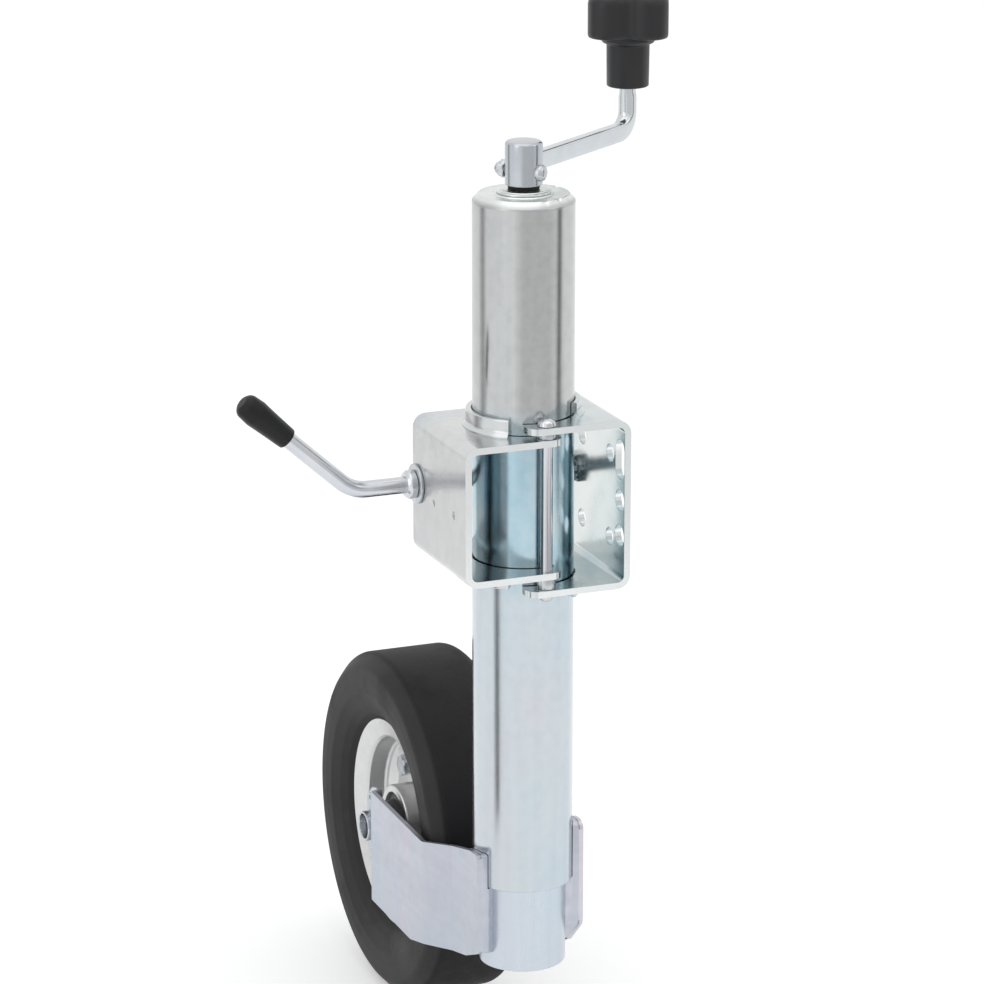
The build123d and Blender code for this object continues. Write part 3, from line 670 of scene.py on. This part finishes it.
def makeCap():
    top, rim, plugLow, plug = [mast[key] for key in ("capTop", "high", "plugLow", "plugRadius")]
    outline = [(rim, 30.0), (top - 4.4, 30.0), (top - 0.15, 26.2), (top - 0.75, 24.6), (top - 0.7, 18.0), (top, 17.2),
               (top, 8.06), (plugLow, 8.06), (plugLow, plug), (rim, plug)]
    bm = lathe(outline, [0, 4.6, 1.2, 0.6, 0.4, 0.3, 0.3, 0.3, 0.3, 0.2], mastAt, upward, 144, 6)
    for turn, far, deep, wide in punchMarks:  # they hold the cap in the tube
        spot = mastAt + polar(far, radians(turn), top - 0.6)
        for vert in bm.verts:
            near = (vert.co - spot).length / wide
            if near < 1 and vert.co.z > 175:
                vert.co.z -= deep * (1 - near * near) ** 2
    return bm


setDown("mastCap", makeCap(), "capZinc", "top_cap", sharp=50)
flangeOutline = [(181.0, 8.1), (181.0, 16.0), (182.2, 16.0), (182.5, 14.6), (183.0, 14.2), (183.0, 8.1)]
capFlange = lathe(flangeOutline, [0.1, 0.5, 0.4, 0.2, 0.3, 0.2], mastAt, upward, 96, 3)
setDown("capFlange", capFlange, "capZinc", "top_flange")
print("mast ready")

# crank: hub, arm, cross bolt and handle

crank = dict(turn=36.4, hubRadius=11.0, hubLow=185.6, hubHigh=211.0, bore=8.05, boreEnd=205.0, armHeight=197.0,
             armFrom=9.6, armHigh=5.4, armWide=3.9, roundFrom=0.52, roundWithin=0.14, reach=118.7, rodTop=268.5,
             boltHeight=193.2)
outward = polar(1, radians(crank["turn"]))
crosswise = Vector((outward.y, -outward.x, 0))
rodAt = mastAt + outward * crank["reach"]
sealOutline = [(183.05, 8.15), (183.05, 9.0), (184.3, 9.35), (185.55, 9.0), (185.55, 8.15)]
setDown("shaftSeal", lathe(sealOutline, 0.4, mastAt, upward, 64, 3), "sealRubber", "seal_ring")


def makeHub():
    low, high, radius, bore, end = [crank[key] for key in ("hubLow", "hubHigh", "hubRadius", "bore", "boreEnd")]
    hub = lathe([(low, bore), (low, radius), (high, radius), (high, 0)], [0, 0.5, 1.9, 0], mastAt, upward, 96, 6, False)
    join(hub, turned([(low, bore), (end, bore), (end, 0)], mastAt, upward, 96, False))
    bmesh.ops.remove_doubles(hub, verts=hub.verts, dist=0.01)
    return hub


setDown("crankHub", makeHub(), "crankZinc", "crank_hub")


def armShape(share):  # flat bar that turns into round rod after the bend
    blend = min(1.0, max(0.0, (share - crank["roundFrom"]) / crank["roundWithin"]))
    blend = blend * blend * (3 - 2 * blend)
    high, wide, square = crank["armHigh"], crank["armWide"] + 1.5 * blend, 5.5 - 3.5 * blend

    def squared(size, c):
        return size * (1 if c > 0 else -1) * abs(c) ** (2 / square)

    return [(squared(high, cos(a)), squared(wide, sin(a))) for a in around(32)]


armStart = mastAt + outward * crank["armFrom"] + upward * crank["armHeight"]
armCorner = rodAt + upward * crank["armHeight"]
armPath = rounded([armStart, armCorner, rodAt + upward * crank["rodTop"]], [0, 12, 0], False, 14)
armBar = swept(spaced(armPath, 1.6), armShape, upward)
pinch = dict(height=220.6, reach=2.6, deep=0.7, above=212, beyond=2.4)
for vert in armBar.verts:  # pinched flats that hold the handle up
    squeeze = max(0.0, 1 - ((vert.co.z - pinch["height"]) / pinch["reach"]) ** 2)
    off = (vert.co - rodAt).dot(crosswise)
    if vert.co.z > pinch["above"] and abs(off) > pinch["beyond"]:
        vert.co -= crosswise * (pinch["deep"] * squeeze * off / crank["armHigh"])
setDown("crankArm", armBar, "armZinc", "crank_arm", sharp=50)
weld = dict(radius=11.4, halfTurn=24, halfHeight=5.2, bead=0.95, ripple=0.18, ripples=110)
weldPath = []
for t in [2 * pi * k / 40 for k in range(41)]:
    turn, height = crank["turn"] + weld["halfTurn"] * cos(t), crank["armHeight"] + weld["halfHeight"] * sin(t)
    weldPath.append(mastAt + polar(weld["radius"], radians(turn), height))


def weldShape(share):
    return circleShape(weld["bead"] + weld["ripple"] * sin(share * weld["ripples"]), 10)


setDown("armWeld", swept(weldPath, weldShape, upward, False), "crankZinc", "crank_arm")

boltAt = mastAt + upward * crank["boltHeight"]
headProfile = [(9.7, 0), (9.7, 4.75), (11.6, 4.9), (12.4, 4.75), (13.3, 4.2), (14.0, 3.3), (14.5, 2.0), (14.7, 0.9),
               (14.75, 0)]
crossBolt = turned([(-18.4, 0), (-18.4, 2.6), (-18.0, 3.0), (11.2, 3.0), (11.2, 0)], boltAt, crosswise, 32, False)
turned(headProfile, boltAt, crosswise, 32, False, crossBolt)
setDown("crossBolt", crossBolt, "fastenerZinc", "crank_bolt", sharp=50)


def hexNut(at, along, low, high, flat, hole, collar=None, turn=0.0, bm=None):
    bm = bm or bmesh.new()  # six sides with turned corners, and a round collar on a lock nut
    spin = upward.rotation_difference(Vector(along))
    corner, face, chamfer = flat / cos(pi / 6), flat * 0.96, 0.12 * (high - low)
    outline = [(low, face), (low + chamfer, corner), (high - chamfer, corner), (high, face)]
    if collar:
        outline += [(high, collar), (high + 1.2, collar), (high + 1.6, collar - 0.6)]
        high += 1.6
    rings = []
    for far, radius in outline + [(high, hole), (low, hole)]:
        ring = []
        for k in range(48):
            a = 2 * pi * k / 48 + turn
            toFlat = flat / cos((a - turn) % (pi / 3) - pi / 6)
            ring.append(bm.verts.new(at + spin @ polar(min(toFlat, radius), a, far)))
        rings.append(ring)
    return skinned(bm, rings, True)


setDown("lockNut", hexNut(boltAt, -crosswise, 11.25, 15.2, 4.95, 3.02, 4.1), "fastenerZinc", "crank_nut", sharp=28)

knobSettings = dict(lobeAt=16.0, lobe=12.6, valley=6.0, firstLobe=-159.0, low=254.6, high=280.4, edge=6.0,
                    sleeveLow=223.6)


def knobReach(a):  # four round lobes with rounded valleys between them
    at, lobe, valley = knobSettings["lobeAt"], knobSettings["lobe"], knobSettings["valley"]
    off = abs(((a - radians(knobSettings["firstLobe"]) + pi / 4) % (pi / 2)) - pi / 4)
    half = at * sin(pi / 4)
    far = half + sqrt((lobe + valley) ** 2 - half ** 2)
    meet = Vector((half + (far - half) * lobe / (lobe + valley), half - half * lobe / (lobe + valley)))
    aside = pi / 4 - off
    if aside < atan2(meet.y, meet.x):
        return far * cos(aside) - sqrt(valley ** 2 - (far * sin(aside)) ** 2)
    return at * cos(off) + sqrt(lobe ** 2 - (at * sin(off)) ** 2)


def makeKnob():
    low, high, edge, foot = [knobSettings[key] for key in ("low", "high", "edge", "sleeveLow")]
    sleeve = [(foot, 5.47), (foot, 12.6), (249.1, 12.88), (250.0, 15.3), (251.9, 16.65), (low + 0.5, 16.65),
              (low + 0.5, 5.47)]
    bm = lathe(sleeve, [0.5, 1.0, 0.8, 1.0, 0.8, 0.3, 0.3], rodAt, upward, 96, 4)
    # heights with how far the outline is drawn in at each
    levels = [(low, 9.0), (low, 1.5), (low + 0.4, 0.55), (low + 1.3, 0.1), (low + 3.5, 0.0), (low + 8.0, 0.0),
              (high - edge - 5, 0.0)]
    levels += [(high - edge + edge * sin(t), edge - edge * cos(t)) for t in [pi / 2 * k / 9 for k in range(10)]]
    levels += [(high + 0.02, edge + 3.0), (high + 0.03, edge + 7.0)]
    rings = [[bm.verts.new(rodAt + polar(knobReach(a) - inset, a, far)) for a in around(160)] for far, inset in levels]
    skinned(bm, rings)
    bridge(bm, rings[-1], [bm.verts.new(rodAt + upward * (high + 0.04))])
    bm.faces.new(rings[0])
    return bm


setDown("crankKnob", makeKnob(), "knobPlastic", "knob", sharp=45)
print("crank ready")

# clamp: fixed bracket, swinging half, pin, screw and lever

clampSettings = dict(sheet=4.0, depth=42.5, bend=8.0, reach=90, tubeHole=31.0, pinHole=3.62, pinY=-36.0, screwY=35.6,
                     screwZ=2.3, lipInner=30.3, lipOuter=33.8, lipRoot=36.0)
pinAt = Vector((mastX, clampSettings["pinY"], 0))
screwAt = Vector((0, clampSettings["screwY"], clampSettings["screwZ"]))


def makeChannel(web, tip, back, top, low, webCuts):
    way = 1 if tip > web else -1
    sheet, bend, depth = [clampSettings[key] for key in ("sheet", "bend", "depth")]
    far, inner, tight = web + way * clampSettings["reach"], web + way * sheet, bend - sheet
    outline = rounded([(far, top), (web, top), (web, low), (far, low), (far, low + sheet), (inner, low + sheet),
                       (inner, top - sheet), (far, top - sheet)], [0, bend, bend, 0, 0, tight, tight, 0], steps=8)
    shape = rounded([(web - way, -depth), (tip, -depth), (tip, -27.5), (back, -25.0), (back, depth),
                     (web - way, depth)], [0, 8, 3.5, 3, 1.6, 0], steps=8)
    tubeHole = stub(low - 3, top + 3, clampSettings["tubeHole"], 0, mastAt, upward, 128)
    pinHole = stub(low - 3, top + 3, clampSettings["pinHole"], 0, pinAt, upward, 32)
    kept = prism(shape, low - 2, top + 2, fromTop)
    return carved(prism(outline, -depth, depth, fromFront), kept, tubeHole, pinHole, *webCuts)


def turnedLip(root, tip, start, end):  # part ring that flares out of the flange, from its root to its free end
    bm = bmesh.new()
    way = 1 if tip > root else -1
    inner, outer, foot = [clampSettings[key] for key in ("lipInner", "lipOuter", "lipRoot")]
    profile = rounded([(root, inner), (root, foot), (root + 0.6 * way, foot), (root + 2.6 * way, outer), (tip, outer),
                       (tip, inner)], [0, 0, 0.2, 2.4, 0.8, 0.8], steps=4)
    rings = []
    for k in range(61):
        a = radians(start + (end - start) * k / 60)
        rings.append([bm.verts.new(mastAt + polar(r, a, far)) for far, r in profile])
    skinned(bm, rings)
    bm.faces.new(rings[0])
    bm.faces.new(rings[-1][::-1])
    return bm


def webHole(radius, y, z):
    return stub(-6, 2, radius, 0, Vector((0, y, z)), across, 40)


def slotCut(y, z, long, wide):
    half, end = (long - wide) / 2, wide / 2
    shape = [(y + end * cos(a), z + (half if sin(a) >= 0 else -half) + end * sin(a)) for a in around(40, 0.5)]
    return prism(shape, -6, 2, fromSide)


def webDent(radius, y, z, deep, corners):  # shallow punch mark in the face of the swinging half
    return stub(swingFace - 0.9, swingFace + deep, radius, 0, Vector((0, y, z)), across, corners)


webHoles = dict(bolt=5.5, boltY=20.8, boltZ=25.5, spare=6.5, spareY=-35.3, spareZ=(0.4, -21.0), screw=5.4,
                slotZ=25.2, slotLong=24.1, slotWide=13.0)
spareY, boltY, boltZ = webHoles["spareY"], webHoles["boltY"], webHoles["boltZ"]
fixedCuts = [webHole(webHoles["bolt"], y, z) for y in (-boltY, boltY) for z in (-boltZ, boltZ)]
fixedCuts += [webHole(webHoles["spare"], spareY, z) for z in webHoles["spareZ"]]
fixedCuts += [slotCut(spareY, webHoles["slotZ"], webHoles["slotLong"], webHoles["slotWide"]),
              webHole(webHoles["screw"], screwAt.y, screwAt.z)]
fixedBracket = makeChannel(0.0, -63.2, -48.3, 50.5, -51.5, fixedCuts)
join(fixedBracket, turnedLip(50.4, 58.8, -45, 85), turnedLip(-51.4, -59.8, -45, 85))
setDown("fixedBracket", fixedBracket, "bracketZinc", "mounting_bracket", soften=0.45, sharp=30)

swingFace = -103.5
screwSlot = rounded([(30.0, -3.3), (44.0, -3.3), (44.0, 7.9), (30.0, 7.9)], [5.5, 0, 0, 5.5], steps=8)
swingCuts = [prism(screwSlot, -106, -98, fromSide), webDent(2.5, -24.0, -1.0, 0.7, 20), webDent(2.9, 7.7, -2.1, 0.5, 3)]
swingHalf = makeChannel(swingFace, -41.5, -52.7, 43.2, -41.0, swingCuts)
join(swingHalf, turnedLip(43.1, 53.2, 95, 233), turnedLip(-40.9, -49.5, 95, 233))
setDown("swingBracket", swingHalf, "swingZinc", "clamp_bracket", soften=0.45, sharp=30)

pinOutline = [(-55.5, 0), (-54.9, 3.4), (-51.6, 5.3), (-51.52, 3.6), (50.52, 3.6), (50.6, 5.75), (53.2, 4.9),
              (55.1, 2.2), (55.1, 0)]
hingePin = lathe(pinOutline, [0, 1.5, 0.5, 0.1, 0.1, 0.4, 1.6, 1.2, 0], pinAt, upward, 48, 4, False)
setDown("hingePin", hingePin, "pinZinc", "hinge_pin", sharp=50)
for name, low, high in (("upper", 43.2, 46.5), ("lower", -47.5, -41.0)):
    spacer = ringBar(low, high, 3.65, 5.6, 0.4, pinAt, upward, 48)
    setDown(name + "Spacer", spacer, "fastenerZinc", "pin_spacer_" + name)

lever = dict(bendX=-144.5, rise=42.0, length=86.0, rod=5.0, inner=-30)
setDown("screwNut", hexNut(screwAt, across, -12.0, -4.05, 8.45, 5.06, turn=pi / 6), "fastenerZinc", "screw_nut",
        sharp=28)
setDown("leverWasher", ringBar(-105.45, -103.55, 5.3, 12.0, 0.55, screwAt, across, 64), "fastenerZinc", "clamp_washer")
bossOutline = [(-105.55, 5.03), (-105.55, 8.6), (-109.6, 8.6), (-111.7, 7.0), (-111.7, 5.03)]
leverBoss = lathe(bossOutline, [0.2, 0.7, 1.6, 0.5, 0.2], screwAt, across, 64, 4)
setDown("leverBoss", leverBoss, "leverZinc", "lever_boss")
leverBend = screwAt + across * lever["bendX"]
leverWay = Vector((-cos(radians(lever["rise"])), 0, sin(radians(lever["rise"]))))
leverCorners = [screwAt + across * lever["inner"], leverBend, leverBend + leverWay * lever["length"]]
leverPath = spaced(rounded(leverCorners, [0, 24, 0], False, 16), 6.0)
leverRod = swept(leverPath, lambda share: circleShape(lever["rod"], 32), rearward)
screwThread = dict(start=-3.2, length=27, pitch=1.5, steps=16, ridge=((-0.62, 4.35), (0.0, 4.98), (0.62, 4.35)))
threadRings = []
for k in range(screwThread["length"] * screwThread["steps"] + 1):
    far, a = screwThread["start"] - k / screwThread["steps"], 2 * pi * k / screwThread["steps"] / screwThread["pitch"]
    ridge = [screwAt + Vector((far + d, r * cos(a), r * sin(a))) for d, r in screwThread["ridge"]]
    threadRings.append([leverRod.verts.new(point) for point in ridge])
for one, two in zip(threadRings, threadRings[1:]):
    for k in range(2):
        leverRod.faces.new((one[k], one[k + 1], two[k + 1], two[k]))
stub(-30.2, -3.1, 4.4, 0.6, screwAt, across, 32, leverRod)
setDown("clampLever", leverRod, "leverZinc", "clamp_lever")
gripOutline = [(53.5, 5.06), (53.5, 6.55), (58, 6.85), (66, 7.3), (79, 8.25), (87.6, 7.5), (90.1, 4.2), (90.1, 0)]
leverGrip = lathe(gripOutline, [0, 0.5, 10, 24, 14, 4.5, 3.2, 0], leverBend, leverWay, 64, 8, False)
setDown("leverGrip", leverGrip, "gripPlastic", "lever_grip", sharp=60)
print("clamp ready")

# leg: inner tube, fork, spacers, axle and split pins

leg = dict(radius=26.0, wall=2.5, low=-292.0, high=118.0)
legTube = ringBar(leg["low"], leg["high"], leg["radius"] - leg["wall"], leg["radius"], 0.5, mastAt, upward, 128)
setDown("legTube", legTube, "legZinc", "inner_tube")

sides = ((-1, "left"), (1, "right"))
# run is one arm seen from above, fronts hold each arm's upper and lower front corner and their radius
fork = dict(sheet=3.0, run=[(32.9, -13), (32.9, 28), (38.5, 63), (40.5, 150.5), (32.9, 157.5), (32.9, 178.5)],
            fronts={-1: (-218.0, -281.0, 2.5), 1: (-205.0, -271.0, 7.0)})


def besideLine(points, gap):  # the same corners, moved sideways by gap
    points = [Vector(p) for p in points]
    ways = [(b - a).normalized() for a, b in zip(points, points[1:])]
    made = []
    for i, here in enumerate(points):
        before, after = ways[max(i - 1, 0)], ways[min(i, len(ways) - 1)]
        lean = Vector((-(before + after).y, (before + after).x)).normalized()
        made.append(here + lean * (gap / lean.dot(Vector((-after.y, after.x)))))
    return made


def forkSide(way):
    top, low, corner = fork["fronts"][way]
    side = [(-13, top), (-1, top - 0.8), (66, -236), (148, -232), (168, -236), (178.5, -246), (178.5, -276),
            (158, -304.5), (85, -307.5), (6, -289), (-13, low)]
    side = rounded(side, [corner, 7, 12, 7, 7, 9, 9, 9, 10, 9, corner], steps=8)
    return prism(side, mastX - 60, mastX + 60, fromSide)


def makeForkArm(way):
    outer = rounded(besideLine(fork["run"], -fork["sheet"] / 2), [0, 10, 9, 5, 3, 0], False, 7)
    inner = rounded(besideLine(fork["run"], fork["sheet"] / 2), [0, 8, 7, 3, 5, 0], False, 7)
    outline = [(mastX + way * p.x, p.y) for p in outer + inner[::-1]]
    axleHole = stub(-60, 60, 9.56, 0, axleAt, across, 48)
    return carved(prism(outline, -312, -200, fromTop), forkSide(way), axleHole)


def weldLine(start, end, size, seed):
    def bead(share):  # it ripples along and tapers at its ends
        ripple = 1 + 0.05 * sin(share * (end - start).length * 2.3 + seed)
        return circleShape(size * ripple * min(1.0, 0.35 + 9 * min(share, 1 - share)), 12)

    return swept(spaced([start, end], 0.7), bead, across)


for way, name in sides:
    # the right arm takes the lighter copy of the fork zinc, painted light
    look = "forkZinc" if way < 0 else "forkZincLit"
    setDown(name + "ForkArm", makeForkArm(way), look, "fork_" + name, soften=0.4, sharp=30)


def makeForkPad(way):  # welded between leg and arm, dressed flush with the arm's front edge
    corners = [(32.2, -12.97), (32.2, 8.5), (22.0, 8.5), (22.0, -10.7), (27.0, -12.6)]
    corners = rounded([(mastX + way * x, y) for x, y in corners], [0, 0.5, 0, 0, 3.0], steps=4)
    block = prism(corners, -286.5, -200, fromTop)
    besideLeg = stub(-290, -240.1, 26.03, 0, mastAt, upward, 128)
    besideMast = stub(-240.2, -190, 30.3, 0, mastAt, upward, 128)
    return carved(block, forkSide(way), besideLeg, besideMast)


spacers = bmesh.new()
for way in (-1, 1):
    join(spacers, makeForkPad(way))
    corner = mastX + way * 24.9
    join(spacers, weldLine(Vector((corner, 8.3, -285)), Vector((corner, 8.3, -242)), 1.3, way))
setDown("forkSpacers", spacers, "forkZinc", "fork_spacers")

axle = dict(radius=9.5, bore=8.0, half=41.4, pinAt=36.3, washerFrom=29.05, washerTo=31.35)
axleTube = ringBar(-axle["half"], axle["half"], axle["bore"], axle["radius"], 0.5, axleAt, across, 64)
setDown("axleTube", axleTube, "fastenerZinc", "axle_tube")
axleWashers = bmesh.new()
for way in (-1, 1):
    low, high = sorted((way * axle["washerFrom"], way * axle["washerTo"]))
    ringBar(low, high, 9.56, 14.0, 0.4, axleAt, across, 64, axleWashers)
setDown("axleWashers", axleWashers, "fastenerZinc", "axle_washers")


def makeSplitPin(at):  # bent wire: down one leg, round the eye and back
    def spot(y, z):
        return at + Vector((0, y, z))

    eye = [-pi / 2 + 0.45 + (2 * pi - 0.9) * k / 28 for k in range(29)]
    wire = spaced([spot(0.85, -25.4), spot(0.85, 14.6)], 3.0)
    wire += [spot(2.5 * cos(t), 18.6 + 2.5 * sin(t)) for t in eye]
    wire += spaced([spot(-0.85, 14.6), spot(-0.85, -21.0), spot(-2.2, -26.4)], 3.0)
    return swept(wire, lambda share: circleShape(0.98, 12), across)


splitPins = bmesh.new()
join(splitPins, *[makeSplitPin(axleAt + across * (way * axle["pinAt"])) for way in (-1, 1)])
setDown("splitPins", splitPins, "fastenerZinc", "split_pins", sharp=60)
print("leg ready")

# wheel: rims, hub, bolts, bushes and tyre

wheel = dict(boltCircle=37.0, boltCount=5, firstBolt=50.0, sheet=1.5)


def makeRim(way):
    line = [(1.0, 24.1), (1.0, 45.0), (6.0, 49.5), (6.2, 53.3), (17.6, 53.9), (19.4, 55.6), (23.3, 66.5)]
    outside = rounded(line, [0, 3, 3, 2.5, 2.0, 2.0, 0], False, 6)
    profile = []
    for i, p in enumerate(outside):  # thicken the line into sheet
        on = (outside[min(i + 1, len(outside) - 1)] - outside[max(i - 1, 0)]).normalized()
        profile.append((p, p + Vector((-on.y, on.x)) * wheel["sheet"]))
    loop = [a for a, b in profile] + [b for a, b in reversed(profile)]
    return turned([(way * x, r) for x, r in loop], axleAt, across, 128)


for way, name in sides:
    setDown(name + "Rim", makeRim(way), "rimSteel", "rim_" + name, sharp=50)
rimBolts = bmesh.new()
for k in range(wheel["boltCount"]):
    a = radians(wheel["firstBolt"] + 360 * k / wheel["boltCount"])
    at = axleAt + Vector((0, wheel["boltCircle"] * cos(a), wheel["boltCircle"] * sin(a)))
    hexNut(at, -across, 2.0, 7.2, 6.4, 0.2, turn=0.3 * k, bm=rimBolts)
    hexNut(at, across, 2.1, 7.0, 6.4, 3.9, turn=0.2 * k, bm=rimBolts)
    stub(-3, 8.4, 3.9, 0.5, at, across, 24, rimBolts)
setDown("rimBolts", rimBolts, "fastenerZinc", "rim_bolts", sharp=28)
hubOutline = [(-20.5, 19.05), (-20.5, 23.9), (20.5, 23.9), (20.5, 19.05)]
setDown("wheelHub", lathe(hubOutline, [0.8, 1.6, 1.6, 0.8], axleAt, across, 96, 4), "rimSteel", "wheel_hub")
bushes = bmesh.new()
bushOutline = [(2.0, 9.6), (28.6, 9.6), (28.6, 13.1), (18.9, 14.4), (18.3, 15.4), (17.6, 18.9), (2.0, 18.9)]
for way in (-1, 1):
    profile = rounded(bushOutline, [0.2, 0.6, 0.8, 0.5, 0.4, 0.5, 0.2], steps=3)
    turned([(way * x, r) for x, r in profile], axleAt, across, 96, True, bushes)
setDown("hubBushes", bushes, "bushPlastic", "hub_bushes")

# the tyre's outline from the middle of the tread over one side to its bore
tyreHalf = [(0, 110.0), (25.4, 110.0), (33.4, 101.6), (33.45, 92.0), (32.9, 84.5), (29.6, 75.5), (26.2, 70.3),
            (22.7, 67.7), (17.5, 56.0), (0, 56.0)]
tyreRound = [0, 7.5, 7.0, 6.0, 8.0, 9.0, 3.0, 1.2, 1.5, 0]


def makeTyre():
    right = rounded(tyreHalf, tyreRound, False, 7)
    return turned(right[:-1] + [Vector((-p.x, p.y)) for p in reversed(right)][:-1], axleAt, across, 160)


setDown("solidTyre", makeTyre(), "tyreRubber", "tyre", sharp=40)
print("wheel ready")

# inner works keep their solids and get their finish

innerLooks = dict(spindle="innerSteel", thrust_collar="innerSteel", thrust_bearing="innerSteel",
                  guide_strips="innerSteel", retaining_ring="innerSteel", knob_clip="innerSteel",
                  guide_bush="guideNylon", nut_carrier="guideNylon", spindle_nut="nutBrass")
for node, look in innerLooks.items():
    body = frame["nodes"][node]
    body.data.materials.clear()
    body.data.materials.append(looks[look])
print("inner works ready")
